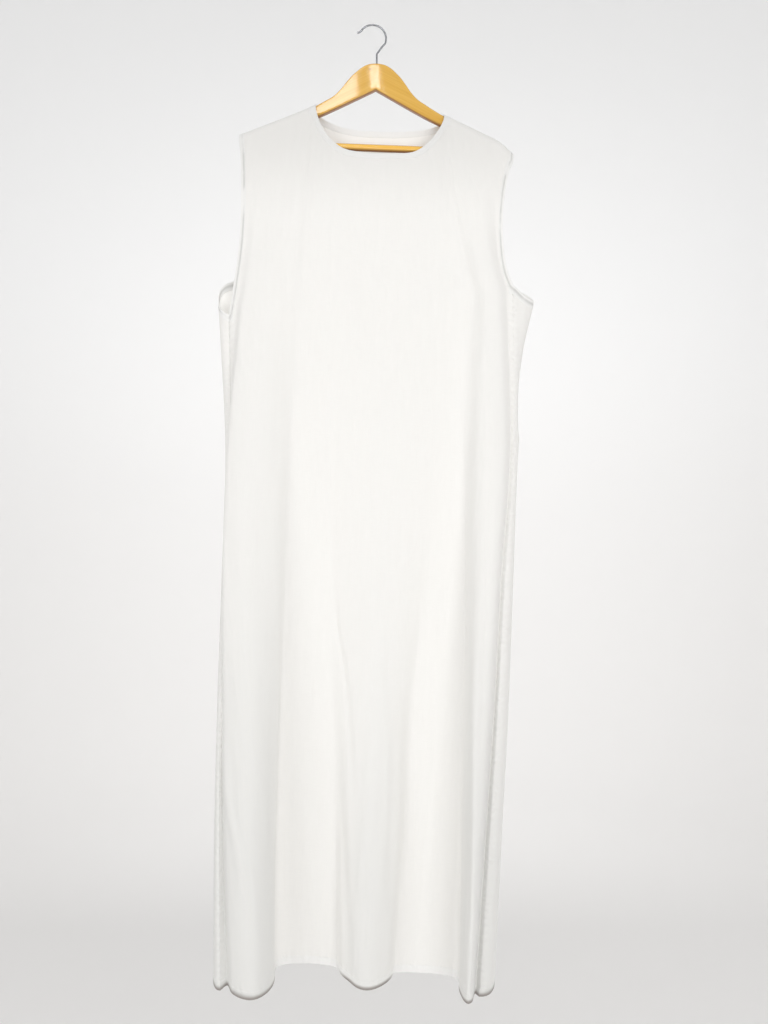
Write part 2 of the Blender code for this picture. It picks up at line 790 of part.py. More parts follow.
def wood_section(out, upper, lower, thick):
    """One upright section of the hanger, with rounded edges."""
    middle = -(upper + lower) / 2
    half_height = (lower - upper) / 2
    half_thick = WOOD_THICK * thick / 2
    section = []
    for step in range(WOOD_SIDES):
        angle = 2 * math.pi * (step + 0.5) / WOOD_SIDES
        wide = math.copysign(abs(math.cos(angle)) ** WOOD_SQUARENESS, math.cos(angle))
        tall = math.copysign(abs(math.sin(angle)) ** WOOD_SQUARENESS, math.sin(angle))
        forward = arm_forward(abs(out)) + half_thick * wide
        section.append(point(out, middle + half_height * tall, forward) * MM)
    return section


def hanger_wood(finish, collection):
    """The arms and crown, lofted through sections from one end to the other."""
    rows = [(-out, *rest) for out, *rest in reversed(WOOD_ROWS[1:])] + list(WOOD_ROWS)
    shape = bmesh.new()
    rings = [[shape.verts.new(p) for p in wood_section(*row)] for row in rows]
    for ring, following in zip(rings, rings[1:]):
        for index in range(WOOD_SIDES):
            after = (index + 1) % WOOD_SIDES
            shape.faces.new((ring[index], ring[after], following[after], following[index]))
    shape.faces.new(list(reversed(rings[0])))
    shape.faces.new(rings[-1])
    bmesh.ops.recalc_face_normals(shape, faces=shape.faces)
    mesh = bpy.data.meshes.new("hanger_body")
    shape.to_mesh(mesh)
    shape.free()
    mesh.shade_smooth()
    made = add_object("hanger_body", mesh, finish, collection)
    made.matrix_world = hanger_place()
    return made


def cylinder(name, radius, start, end, sides, frame):
    """A closed cylinder between two points of a frame."""
    run = end - start
    bpy.ops.mesh.primitive_cylinder_add(vertices=sides, radius=radius * MM, depth=run.length * MM)
    made = bpy.context.object
    made.name = name
    turn = run.to_track_quat("Z", "Y").to_matrix().to_4x4()
    made.matrix_world = frame @ Matrix.Translation((start + end) / 2 * MM) @ turn
    return made


def move_to(made, collection):
    """Put an object in one collection only."""
    for owner in list(made.users_collection):
        owner.objects.unlink(made)
    collection.objects.link(made)


def cut(target, cutter, cutters):
    """Take a cutter's shape out of a target."""
    move_to(cutter, cutters)
    cutter.hide_render = True
    cutter.display_type = "WIRE"
    difference = target.modifiers.new(cutter.name, "BOOLEAN")
    difference.operation = "DIFFERENCE"
    difference.solver = "EXACT"
    difference.object = cutter


def build_hanger(collection, cutters):
    """Wooden body, its round trouser bar and the wire hook in the crown."""
    wood = material("varnished_wood", WOOD_HONEY, WOOD_ROUGHNESS)
    wire = material("polished_wire", CHROME, WIRE_ROUGHNESS, metallic=1.0)
    body = hanger_wood(wood, collection)
    frame = hanger_place()
    bar_forward = arm_forward(BAR_HALF)
    left = point(-BAR_HALF, -BAR_DROP, bar_forward)
    right = point(BAR_HALF, -BAR_DROP, bar_forward)
    bar = cylinder("hanger_bar", BAR_RADIUS, left, right, BAR_SIDES, frame)
    move_to(bar, collection)
    bar.data.materials.append(wood)
    bar.data.shade_smooth()
    bar.data.set_sharp_from_angle(angle=BAR_EDGE)
    for name, inner in (("socket_left", left), ("socket_right", right)):
        inward = math.copysign(SOCKET_MOUTH, -inner.x)
        outer = inner + Vector((-math.copysign(SOCKET_PLAY, inward), 0.0, 0.0))
        mouth = inner + Vector((inward, 0.0, 0.0))
        socket = cylinder(name, BAR_RADIUS + SOCKET_PLAY, outer, mouth, BAR_SIDES, frame)
        cut(body, socket, cutters)
    straight = Matrix.Translation(point(SHANK_ACROSS, CROWN_HEIGHT, 0.0) * MM)
    bottom = point(0.0, -WIRE_IN_WOOD - HOLE_PLAY, 0.0)
    above = point(0.0, HOLE_ABOVE, 0.0)
    hole = cylinder("hook_hole", WIRE_RADIUS + HOLE_PLAY, bottom, above, HOLE_SIDES, straight)
    cut(body, hole, cutters)
    build_hook(wire, collection)


def hook_route():
    """The wire's middle line, from the end in the crown to the free tip."""
    centre = point(0.0, -BEND_CENTRE_DROP, 0.0)
    shank = [
        point(SHANK_ACROSS, CROWN_HEIGHT - WIRE_IN_WOOD, 0.0),
        point(SHANK_ACROSS, CROWN_HEIGHT, 0.0),
    ]
    sweep = [point(SHANK_ACROSS + across, SHANK_TOP + up, 0.0) for across, up in HOOK_SWEEP]
    bend = []
    for step in range(BEND_POINTS):
        angle = BEND_START + (BEND_END - BEND_START) * step / (BEND_POINTS - 1)
        bend.append(centre + point(math.cos(angle), math.sin(angle), 0.0) * BEND_RADIUS)
    flick = [bend[-1] + point(across, up, 0.0) for across, up in HOOK_FLICK]
    rounded = curve_through([*sweep, bend[0]], (2, 2, 2), before=shank[-1])
    return [*shank, *rounded[:-1], *bend, *flick]


def build_hook(finish, collection):
    """The hook: one wire of even thickness with flat ends."""
    data = bpy.data.curves.new("hanger_hook", "CURVE")
    data.dimensions = "3D"
    data.bevel_depth = WIRE_RADIUS * MM
    data.bevel_resolution = 2
    data.use_fill_caps = True
    route = hook_route()
    spline = data.splines.new("POLY")
    spline.points.add(len(route) - 1)
    for place, target in zip(route, spline.points):
        target.co = (*(place * MM), 1.0)
    data.materials.append(finish)
    collection.objects.link(bpy.data.objects.new("hanger_hook", data))


def main():
    """Build the dress and its hanger in an empty scene."""
    for existing in list(bpy.data.objects):
        bpy.data.objects.remove(existing, do_unlink=True)
    parts = bpy.data.collections.new("under_dress_on_hanger")
    cutters = bpy.data.collections.new("cutters")
    for collection in (parts, cutters):
        bpy.context.scene.collection.children.link(collection)
    build_dress(parts)
    build_hanger(parts, cutters)


main()
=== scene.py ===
"""A long white sleeveless under dress on a varnished wooden hanger, dressed for the picture.

Run as a script, it lays light woven cloth over the part's plain panels, presses the smaller creases into it,
turns and stitches its edges, polishes the hanger and sets the stage. Sizes in the tables are millimetres in
the part's own frame: across to the right, height up, and forward towards the viewer, which is minus Y.
"""

import math

import bmesh
import bpy
import numpy as np
from mathutils import Matrix, Vector
from mathutils.kdtree import KDTree


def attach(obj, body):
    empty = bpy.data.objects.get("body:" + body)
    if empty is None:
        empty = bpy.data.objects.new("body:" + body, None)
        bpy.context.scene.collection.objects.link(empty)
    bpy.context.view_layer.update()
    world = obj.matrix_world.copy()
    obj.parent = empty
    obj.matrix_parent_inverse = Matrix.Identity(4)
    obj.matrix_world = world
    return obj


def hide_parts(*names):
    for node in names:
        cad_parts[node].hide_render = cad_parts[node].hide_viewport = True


bl_info = {
    "name": "Under dress on a hanger",
    "version": (1, 0, 0),
    "blender": (4, 5, 0),
    "location": "3D View > Sidebar > Dress",
    "description": "Dresses the plain panels of a long under dress and the wooden hanger that holds it",
    "category": "Object",
}

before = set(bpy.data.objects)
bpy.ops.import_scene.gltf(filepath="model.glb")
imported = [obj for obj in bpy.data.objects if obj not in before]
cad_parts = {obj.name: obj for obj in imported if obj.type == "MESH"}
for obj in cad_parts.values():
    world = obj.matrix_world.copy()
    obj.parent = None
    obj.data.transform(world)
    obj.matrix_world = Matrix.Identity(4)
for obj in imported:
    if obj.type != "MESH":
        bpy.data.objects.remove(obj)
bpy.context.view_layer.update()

MM = 0.001
FORWARD = Vector((0.0, -1.0, 0.0))
UP = Vector((0.0, 0.0, 1.0))

# How wide the cloth under a binding is
BAND_WIDTH = 9.0
# A curve's handles, as a share of the shorter span beside them, and the least length that gives a direction
HANDLE = 0.35
NO_LENGTH = 1e-6
# Steps between two rows of an armhole's table and of a neck's, and the share of the neck on each side
# of a place that gives its direction
TABLE_STEPS = 6
NECK_STEPS = 5
TANGENT_STEP = 0.01

# Hook, bent from one wire
WIRE_RADIUS = 1.6
BEND_RADIUS = 23.5
BEND_CENTRE_DROP = BEND_RADIUS - WIRE_RADIUS
BEND_START = math.radians(-22.0)
BEND_END = math.radians(147.0)
BEND_POINTS = 16
# Across and up from the shank's top, where the wire swings out into the bend
HOOK_SWEEP = ((0.0, 0.0), (4.0, 6.4), (9.6, 14.0))
# Across and up from the bend's end, where the tip turns away
HOOK_FLICK = ((-2.6, -2.0), (-6.6, -2.6))
SHANK_ACROSS = 7.6
SHANK_TOP = -49.5
WIRE_IN_WOOD = 12.0

# Wooden hanger, as one half, measured from the top of its crown
CROWN_ACROSS = 7.6
CROWN_HEIGHT = -66.3
TILT = math.radians(2.2)
ARM_REACH = 208.0
ARM_FORWARD = 8.0
WOOD_THICK = 12.4
BAR_DROP = 146.6
BAR_RADIUS = 6.0
BAR_HALF = 189.0
BAR_EDGE = math.radians(40.0)

# Out from the crown, drop of the upper edge, drop of the lower edge, share of the full thickness
WOOD_ROWS = (
    # out, upper, lower, thick
    (0.0, 0.0, 45.6, 1.00),
    (7.0, 0.6, 49.4, 1.00),
    (14.0, 2.0, 53.0, 1.00),
    (21.0, 5.2, 56.8, 1.00),
    (27.5, 9.6, 60.2, 1.00),
    (34.0, 15.4, 63.6, 1.00),
    (41.5, 22.6, 67.6, 1.00),
    (51.5, 35.2, 72.9, 1.00),
    (60.0, 46.8, 77.4, 1.00),
    (72.0, 59.2, 83.6, 1.00),
    (87.0, 68.8, 91.4, 1.00),
    (103.0, 77.9, 99.4, 1.00),
    (117.0, 85.3, 106.0, 1.00),
    (140.0, 96.0, 117.0, 1.00),
    (165.0, 107.4, 130.0, 1.00),
    (180.0, 115.2, 143.0, 1.00),
    (191.0, 121.0, 153.0, 1.00),
    (199.0, 126.0, 154.4, 0.94),
    (205.0, 130.8, 151.0, 0.72),
    (208.0, 134.0, 146.0, 0.40),
)
WOOD_ROUNDING = 3.0
# Under the cloth the wood's corners are rounder: by how much, from where, and over what length
ROUNDER = 2.8
ROUNDER_FROM = 85.0
ROUNDER_OVER = 25.0
WOOD_CORNER_STEPS = 5
# How far a flat face runs before the first line across it, which keeps its sheen flat
WOOD_LEAD = 1.2

# The dress over the shoulders. Each seam runs along the upper edge of an arm and past its end.
SHOULDER_LIFT = 2.3
NECK_LEFT = -97.0
NECK_RIGHT = 123.0
TIP_LEFT = -226.0
TIP_RIGHT = 240.0
DROOP_START = 213.0
DROOP = 12.0
DROOP_POWER = 1.5
SHOULDER_SLOPE = 0.46
STRAIGHT_START = 117.0
TILT_ROUNDS = 4
# The cloth rolls over the arm in these steps: forward and down from the seam
ROLL = ((0.0, 0.0), (2.4, 0.2), (7.6, 3.2), (10.0, 10.0))
# How far the row below the roll lies under it, and how far along the neck's edge from the roll's end
# the next two places of its band are
BAND_DROP = 6.0
CORNER_STEPS = (6.0, 10.5)

# Neck edges between the ends of the roll over the two arms: across, height, forward
FRONT_NECK = (
    (-95.2, -156.0, 13.6),
    (-91.5, -167.0, 15.0),
    (-85.0, -182.0, 17.0),
    (-75.0, -197.0, 18.5),
    (-63.0, -209.5, 19.5),
    (-50.0, -218.5, 20.0),
    (-36.0, -222.6, 20.5),
    (-10.0, -225.8, 21.0),
    (24.0, -227.2, 21.0),
    (56.0, -227.2, 21.0),
    (72.0, -224.8, 20.5),
    (86.0, -216.5, 20.0),
    (100.0, -204.0, 18.5),
    (110.0, -190.5, 17.0),
    (117.5, -178.0, 15.2),
    (121.4, -171.0, 13.6),
)
BACK_NECK = (
    (-93.4, -152.2, -8.6),
    (-86.0, -157.8, -9.0),
    (-76.0, -162.6, -9.0),
    (-54.0, -171.5, -8.5),
    (-24.0, -177.0, -9.0),
    (10.0, -179.0, -9.0),
    (44.0, -179.6, -9.0),
    (76.0, -178.0, -8.5),
    (100.0, -174.0, -8.8),
    (113.0, -170.4, -8.6),
)

# Armhole edges below the shoulder: height, across, forward
FRONT_ARMHOLE_LEFT = (
    (-222.0, -223.4, 21.0),
    (-272.0, -222.0, 20.5),
    (-343.0, -223.0, 20.0),
    (-372.0, -224.8, 20.0),
    (-416.0, -229.8, 19.0),
    (-442.0, -234.2, 17.0),
    (-476.0, -240.0, 14.0),
    (-499.0, -244.7, 12.0),
)
FRONT_ARMHOLE_RIGHT = (
    (-247.0, 234.0, 21.0),
    (-272.0, 229.0, 20.5),
    (-290.0, 225.6, 20.0),
    (-314.0, 223.0, 20.0),
    (-348.0, 221.3, 20.0),
    (-374.0, 222.2, 20.0),
    (-411.0, 225.6, 21.0),
    (-435.0, 230.9, 22.5),
    (-452.0, 239.0, 24.0),
)
BACK_ARMHOLE_LEFT = (
    (-222.0, -219.5, -1.0),
    (-262.0, -215.6, -7.0),
    (-320.0, -213.6, -11.0),
    (-370.0, -214.6, -13.0),
    (-405.0, -219.6, -12.0),
    (-426.0, -226.0, -11.5),
    (-437.0, -234.0, -11.0),
)
BACK_ARMHOLE_RIGHT = (
    (-246.0, 231.6, -2.0),
    (-275.0, 224.6, -8.0),
    (-312.0, 218.4, -11.0),
    (-350.0, 214.4, -12.0),
    (-390.0, 215.0, -13.0),
    (-424.0, 222.0, -12.5),
    (-450.0, 236.0, -12.0),
)
# The yoke's rows, as shares of the way down to the underarm, and how early the cloth comes away from the arm
YOKE_STEPS = (0.06, 0.12, 0.19, 0.27, 0.36, 0.46, 0.57, 0.68, 0.80, 0.91)
YOKE_EASE = 1.3
# How fast an armhole's own shape fades away from it into the yoke
YOKE_FADE = 3
# The most of the cloth beside an armhole that its band may take
BAND_SHARE_MOST = 0.9

# Front panel: the folds' stations, from the left side seam to the right one
FRONT_STATIONS = (
    "seam_l", "crease_l", "edge_l", "crest_l", "flank_l", "foot_l", "foot_cl", "rise_c",
    "crest_c", "fall_c", "foot_cr", "foot_r", "flank_r", "crest_r", "edge_r", "crease_r", "seam_r",
)
FRONT_SPANS = (2, 2, 3, 3, 3, 3, 3, 3, 3, 3, 3, 3, 3, 3, 2, 2)
# The levels from the underarm to the hem: height, across and forward of each station
FRONT_LEVELS = (
    (  # Underarm
        (-499, -497, -496, -493, -490, -488, -484, -482,
         -476, -470, -467, -464, -462, -459, -456, -454, -452),
        (-244.7, -229, -221, -186, -140, -122, -80, -55,
         20, 90, 124, 160, 176, 192, 214, 227.5, 239),
        (12, 19, 29, 36, 29, 24, 22, 23, 26, 26, 24, 22, 26, 38, 36, 23, 24),
    ),
    (  # Waist
        (-730,) * 17,
        (-241, -243, -243.5, -204, -156, -136, -85, -56,
         15, 85, 112, 153, 167, 187, 224, 233, 239),
        (18, 28, 41, 53, 37, 20, 17, 19, 28, 27, 22, 20, 31, 52, 46, 29, 33),
    ),
    (  # Hip
        (-945,) * 17,
        (-246, -248, -247, -202, -156, -145, -72, -52,
         8, 74, 98, 155, 162, 181, 209, 216, 221.5),
        (40, 49, 60, 71, 45, 18, 15, 22, 38, 25, 16, 16, 38, 66, 60, 41, 47),
    ),
    (  # Knee
        (-1160,) * 17,
        (-251, -247.5, -243, -198, -155, -152, -72, -50,
         5, 50, 69, 149.5, 155, 167, 196, 203.5, 208.5),
        (67, 64, 74, 89, 52, 16, 14, 27, 46, 28, 14, 14, 40, 80, 70, 50, 58),
    ),
    (  # Calf
        (-1400,) * 17,
        (-249, -244.5, -237, -196, -159, -158, -66, -53,
         -4, 44, 60, 146, 149.5, 161, 179, 186, 192),
        (84, 75, 88, 104, 60, 14, 14, 34, 60, 34, 14, 14, 50, 94, 84, 57, 66),
    ),
    (  # Hem
        (-1613, -1609, -1615, -1618, -1615, -1607, -1610, -1615,
         -1626, -1619, -1620, -1628, -1630, -1630, -1631, -1631, -1633),
        (-246, -236, -228, -191, -161, -159, -63, -50,
         -10, 33, 41, 142.5, 145, 154, 164, 170, 176.5),
        (92, 79, 95, 114, 70, 15, 14, 40, 68, 40, 15, 14, 58, 102, 90, 62, 72),
    ),
)
# Where the stations' columns reach the shoulder seams
FRONT_SHOULDER_LEFT = {"seam_l": TIP_LEFT, "crease_l": -212.0, "edge_l": -193.0, "crest_l": -150.0}
FRONT_SHOULDER_RIGHT = {"crest_r": 168.0, "edge_r": 204.0, "crease_r": 225.0, "seam_r": TIP_RIGHT}

# Back panel: from the left side seam round the outside and behind to the right side seam
BACK_STATIONS = (
    "seam_l", "strip_l", "outer_l", "turn_l", "back_1", "back_2", "back_3", "back_4",
    "back_5", "turn_r", "outer_r", "strip_r", "seam_r",
)
BACK_SPANS = (2, 2, 2, 2, 5, 8, 8, 5, 2, 2, 2, 2)
BACK_LEVELS = (
    (  # Underarm
        (-499, -492, -478, -447, -437, -470, -474, -466, -450, -462, -476, -464, -452),
        (-244.7, -256, -264.5, -261, -234, -130, 5, 140, 236, 268, 278, 253, 239),
        (12, 9, 1, -7, -11, -13, -13, -13, -12, -8, 3, 18, 24),
    ),
    (  # Waist
        (-730,) * 13,
        (-241, -248, -252, -248, -226, -120, 5, 130, 222, 245, 250, 246, 239),
        (18, 13, 3, -8, -13, -10, -14, -10, -13, -8, 6, 25, 33),
    ),
    (  # Hip
        (-945,) * 13,
        (-246, -252, -256, -252, -228, -125, 0, 120, 212, 235, 240.5, 234, 221.5),
        (40, 34, 16, -6, -13, -6, -14, -7, -13, -6, 14, 40, 47),
    ),
    (  # Knee
        (-1160,) * 13,
        (-251, -256, -259.5, -255, -230, -130, -5, 110, 200, 224, 231.5, 223, 208.5),
        (67, 60, 34, -2, -13, -1, -13, -2, -13, -3, 24, 52, 58),
    ),
    (  # Calf
        (-1400,) * 13,
        (-249, -257, -263.5, -258, -232, -136, -8, 100, 188, 212, 218.5, 209, 192),
        (84, 79, 48, 2, -13, 0, -12, 0, -13, -1, 28, 59, 66),
    ),
    (  # Hem
        (-1613, -1612, -1609, -1607, -1608, -1611, -1614, -1618,
         -1622, -1625, -1629, -1633, -1633),
        (-246, -255, -263.5, -258, -232, -138, -10, 95, 180, 202, 206.5, 195, 176.5),
        (92, 86, 58, 6, -13, 2, -11, 2, -13, 1, 34, 64, 72),
    ),
)
BACK_SHOULDER_LEFT = {"back_1": TIP_LEFT}
BACK_SHOULDER_RIGHT = {"back_5": TIP_RIGHT}
# Rows of the grid between two levels, and how far above the hem's edge its turn ends
LEVEL_ROWS = (6, 6, 6, 6, 6)
HEM_BAND = 10.0

# Seen cloth: its own thickness and how far its outer face lies off the plain panel's middle
SHELL = 0.9
SHELL_OUT = 0.5
SMOOTH_LEVELS = 2
# Points of the front and the back that are closer than this are one
WELD = 0.4
# Bound edges: how far they stand off the cloth outside and inside, and past its free edge
BINDING_OUT = 0.35
BINDING_IN = 1.35
BINDING_PAST = 0.4
BINDING_ROUND = 0.3
BINDING_SEGMENTS = 2
BINDING_EDGE = math.radians(50)
# A point counts as on the free edge from this value of its rim
ON_RIM = 0.99
# Stitches: from one to the next, half their length, half their thickness, how far into the binding they
# lie, and the faces round and along each
STITCH_PITCH = 3.0
STITCH_HALF = 1.05
STITCH_THICK = 0.24
STITCH_INSET = 1.3
STITCH_SIDES = 6
STITCH_RINGS = 4
# How deep a side seam sinks, and how far from it
SEAM_SINK = 0.7
SEAM_REACH = 3.0
# Above the underarms there is no side seam, and the cloth there counts as this far from one
NO_SEAM = 200.0
# Steps between two places of a crease
CREASE_STEPS = 6
# How abruptly a crease runs out at its two ends: the lower, the more abrupt
CREASE_ENDS = 0.7
# Creases fade out this close to a side seam
CREASE_CLEAR = 12.0

# Smaller creases pressed into the front: lift (a trough is negative), half width, then the places along it
FRONT_CREASES = (
    # lift, half width, (across, height) from top to bottom
    (-1.4, 7.0, ((-78, -560), (-72, -700), (-70, -860), (-64, -980))),
    (-2.4, 4.5, ((-62, -960), (-60, -1030), (-46, -1110), (-33, -1280), (-30, -1400))),
    (2.2, 6.0, ((-243, -1180), (-236, -1300), (-217, -1388), (-210, -1470))),
    (-1.8, 5.0, ((-228, -1230), (-222, -1330), (-202, -1420), (-194, -1520))),
    (1.5, 14.0, ((-178, -300), (-172, -460), (-176, -640), (-182, -840))),
    (-1.2, 10.0, ((-142, -330), (-140, -480), (-148, -640), (-152, -780))),
    (-1.2, 12.0, ((150, -300), (152, -460), (146, -640), (150, -820))),
    (1.4, 9.0, ((176, -520), (176, -700), (172, -900), (164, -1120))),
    (-1.5, 5.0, ((196, -640), (194, -820), (186, -1040), (176, -1260), (168, -1440))),
    (1.6, 5.0, ((22, -1130), (26, -1260), (20, -1400), (12, -1530))),
    (-1.4, 6.0, ((-18, -1200), (-22, -1330), (-30, -1450), (-32, -1560))),
    (-4.5, 9.0, ((-60, -1150), (-57, -1283), (-50, -1416), (-43, -1533), (-34, -1720))),
    (-4.5, 9.0, ((66, -1120), (62, -1250), (55, -1416), (43, -1533), (28, -1720))),
    (-3.0, 6.0, ((-156, -980), (-160, -1200), (-161, -1400), (-160, -1720))),
    (-3.0, 6.0, ((158, -900), (158, -1150), (157, -1400), (155, -1720))),
    (1.0, 16.0, ((60, -420), (66, -620), (62, -820))),
    (-0.9, 18.0, ((10, -300), (14, -480), (8, -660))),
    (1.0, 9.0, ((-112, -1250), (-108, -1400), (-112, -1560))),
    (1.0, 10.0, ((98, -1200), (100, -1380), (96, -1570))),
    (-1.5, 5.0, ((214, -470), (196, -520), (170, -560))),
    (-1.2, 5.0, ((218, -500), (202, -570), (184, -640))),
    (-1.4, 5.0, ((-226, -512), (-206, -545), (-184, -575))),
    (1.0, 6.0, ((-230, -530), (-214, -600), (-200, -680))),
    (-0.9, 7.0, ((-88, -190), (-98, -250), (-112, -330))),
    (-0.9, 7.0, ((112, -196), (124, -260), (132, -340))),
    (0.9, 8.0, ((-60, -232), (-40, -262), (-10, -280), (30, -282))),
)
# The same for the back, finished plainly with like creases of its own
BACK_CREASES = (
    (-11.0, 11.0, ((286, -490), (273, -548), (262, -615), (254, -710))),
    (-3.0, 9.0, ((-170, -420), (-164, -620), (-170, -860), (-176, -1100))),
    (2.4, 13.0, ((-120, -300), (-112, -520), (-118, -760))),
    (-3.2, 11.0, ((-60, -760), (-66, -980), (-62, -1220), (-70, -1480))),
    (2.6, 13.0, ((0, -420), (6, -680), (0, -940), (-6, -1240))),
    (-3.0, 10.0, ((60, -640), (58, -880), (52, -1120), (50, -1400))),
    (2.8, 12.0, ((120, -340), (126, -560), (118, -820), (108, -1080))),
    (-2.8, 9.0, ((178, -480), (170, -680), (164, -900), (150, -1200))),
    (2.0, 8.0, ((-205, -900), (-208, -1120), (-210, -1380))),
    (-1.2, 6.0, ((-214, -470), (-190, -520), (-160, -560))),
    (-1.2, 6.0, ((212, -480), (186, -530), (156, -560))),
    (-0.8, 14.0, ((-70, -230), (0, -252), (90, -240))),
)

# Seen hanger: steps between the wood's rows, faces round the bar, steps between the wire's places, and
# how finely its quarters are rounded
WOOD_STEPS = 4
BAR_ROUND = 40
HOOK_STEPS = 3
WIRE_ROUND = 5
# How much the grain drops for each step out along an arm
GRAIN_SLOPE = 0.5
# The wood's noises: lumps to the metre along the grain, through the arm and across the grain
GRAIN = (5.0, 260.0, 330.0)
GRAIN_BENDS = (9.0, 20.0, 26.0)
GRAIN_BEND_DEPTH = 0.006
PORES = (60.0, 1400.0, 1500.0)
FIGURE = (3.0, 40.0, 60.0)
# The knot's place and how far it fades out, across and up
KNOT_ACROSS = -4.0
KNOT_HEIGHT = -77.0
KNOT_WIDE = 2.8
KNOT_HIGH = 1.6
MITRE_WIDE = 0.4
# How much darker colour each of these takes: pores, painted shade on the turned edges and on the underside,
# the knot, the mitre
PORE_SHARE = 0.35
EDGE_SHARE = 0.75
UNDER_SHARE = 0.6
KNOT_SHARE = 0.6
MITRE_SHARE = 0.35
GRAIN_HEIGHT = 0.00002
# Each finish's least roughness, and how much rougher it gets
CLOTH_ROUGH = (0.8, 0.12)
THREAD_ROUGH = (0.6, 0.2)
WOOD_ROUGH = (0.3, 0.12)
WIRE_ROUGH = (0.07, 0.16)
PAINT_ROUGH = (0.85, 0.05)
# The thread's twist and the wire's marks and dull places: lumps to the metre each way, height, darkest share
TWIST = (2500.0, 2500.0, 2500.0)
TWIST_HEIGHT = 0.00008
TWIST_DARK = 0.9
WIRE_MARKS = (900.0, 900.0, 900.0)
WIRE_MARK_HEIGHT = 0.00001
WIRE_DULL = (90.0, 90.0, 90.0)
WIRE_DARK = 0.86
# Where a colour Mix node has its two colours and its result
MIX_FIRST, MIX_SECOND, MIX_RESULT = 6, 7, 2

# The weave's noises: lumps to the metre across the cloth, up it, and out of it
WEFT_SLUBS = (60.0, 900.0, 1.0)
WARP_SLUBS = (1100.0, 35.0, 1.0)
WRINKLES = (34.0, 5.5, 1.0)
DRIFT = (30.0, 22.0, 1.0)
# How light the cloth is between its slubs and on them, as shares of its shade
THREAD_TONES = (0.985, 1.01)
# How high the weave, its slubs and its wrinkles stand, in metres
WEAVE_HEIGHT = 0.00003
WEFT_SLUB_HEIGHT = 0.00009
WARP_SLUB_HEIGHT = 0.00007
WRINKLE_HEIGHT = 0.0030
# Puckers along the side seams and the hem: how far they reach, their pitch, its drift and their height
SEAM_PUCKER_REACH = 0.011
SEAM_PUCKER_PITCH = 0.0125
SEAM_PUCKER_DRIFT = 0.02
SEAM_PUCKER_HEIGHT = 0.00035
HEM_PUCKER_REACH = 0.009
HEM_PUCKER_PITCH = 0.014
HEM_PUCKER_DRIFT = 0.025
HEM_PUCKER_HEIGHT = 0.0003

# Painted shade on the folds: the cloth is painted greyer the further it stands forward of the back.
# How far forward that starts and is complete
FOLD_SHADE_FROM = 10.0
FOLD_SHADE_FULL = 82.0
# The painted shade is weaker higher up: its least share, and the heights below the hook from which it grows
# and is whole
FOLD_SHADE_LEAST = 0.35
FOLD_SHADE_TOP = 800.0
FOLD_SHADE_LOW = 1500.0
# The shoulders lean out of the light: from how far below the hook to how far, how far behind it, how much
YOKE_TOP = 175.0
YOKE_LOW = 350.0
YOKE_BEHIND = 9.0
YOKE_SHADE = 0.87
# Painted glow on the inside, standing in for light that comes through the cloth at the arms: from where
# across to where, and how strongly. The rest of the inside glows in this grey.
SIDE_FROM = 150.0
SIDE_FULL = 215.0
PAINTED_GLOW = 0.2
PAINTED_GLOW_GREY = (0.42, 0.42, 0.42)
# The sewn groove along an armhole, pressed into the relief with painted shade in it: its place and width as
# shares of the binding, its depth, how much painted shade it takes and its grey
GROOVE_AT = 0.45
GROOVE_WIDTH = 0.22
GROOVE_DEEP = 0.35
GROOVE_PAINTED_SHADE = 0.6
GROOVE_SHADOW_GREY = (0.5, 0.5, 0.48)
# Painted shadow on the hem's very edge where a fold carries it forward: from which share of its turn,
# and how low
TURN_FROM = 0.3
TURN_FULL = 0.85
HEM_SHADE_TOP = 1370.0
HEM_SHADE_FULL = 1400.0
HEM_SHADOW_BROWN = (0.3, 0.275, 0.255)

# Colours
CLOTH_WHITE = (0.885, 0.875, 0.85)
BAND_WHITE = (0.885, 0.88, 0.865)
# Colour of the painted shade on folds that stand forward
FOLD_SHADE_WHITE = (0.765, 0.762, 0.742)
THREAD_WHITE = (0.9, 0.9, 0.88)
WOOD_LIGHT = (0.76, 0.455, 0.085)
WOOD_DARK = (0.68, 0.375, 0.055)
# Knot and joint brown, also the colour of the painted shade on the wood's turned edges and underside
WOOD_KNOT_AND_SHADE = (0.30, 0.13, 0.04)
# Painted light: how many times as light the trouser bar is painted as the arms, against the shade it hangs in
BAR_PAINTED_LIGHT = 1.4
WIRE_BRIGHT = (0.34, 0.35, 0.37)
ROOM_WHITE = (0.88, 0.88, 0.88)
# The floor's paint, a little darker than the walls as painted shade
FLOOR_WHITE = (0.85, 0.84, 0.83)
SKY_COLOUR = (1.0, 1.0, 1.0)

# How much the soft clouds of the room's paint show
CLOUD_SHARE = 0.03

# Stage, in metres
FLOOR = -2.25
ROOM_RADIUS = 5.0
ROOM_FILLET = 1.6
ROOM_TOP = 3.0
ROOM_BACK = -0.3
ROOM_SIDES = 96
FILLET_STEPS = 16
CAMERA_PLACE = (0.020, -1.650, -0.836)
SENSOR = 36.0
FOCAL_PIXELS = 959.3
PICTURE_HEIGHT = 1024
KEY_POWER = 19.1
SKY_STRENGTH = 0.8
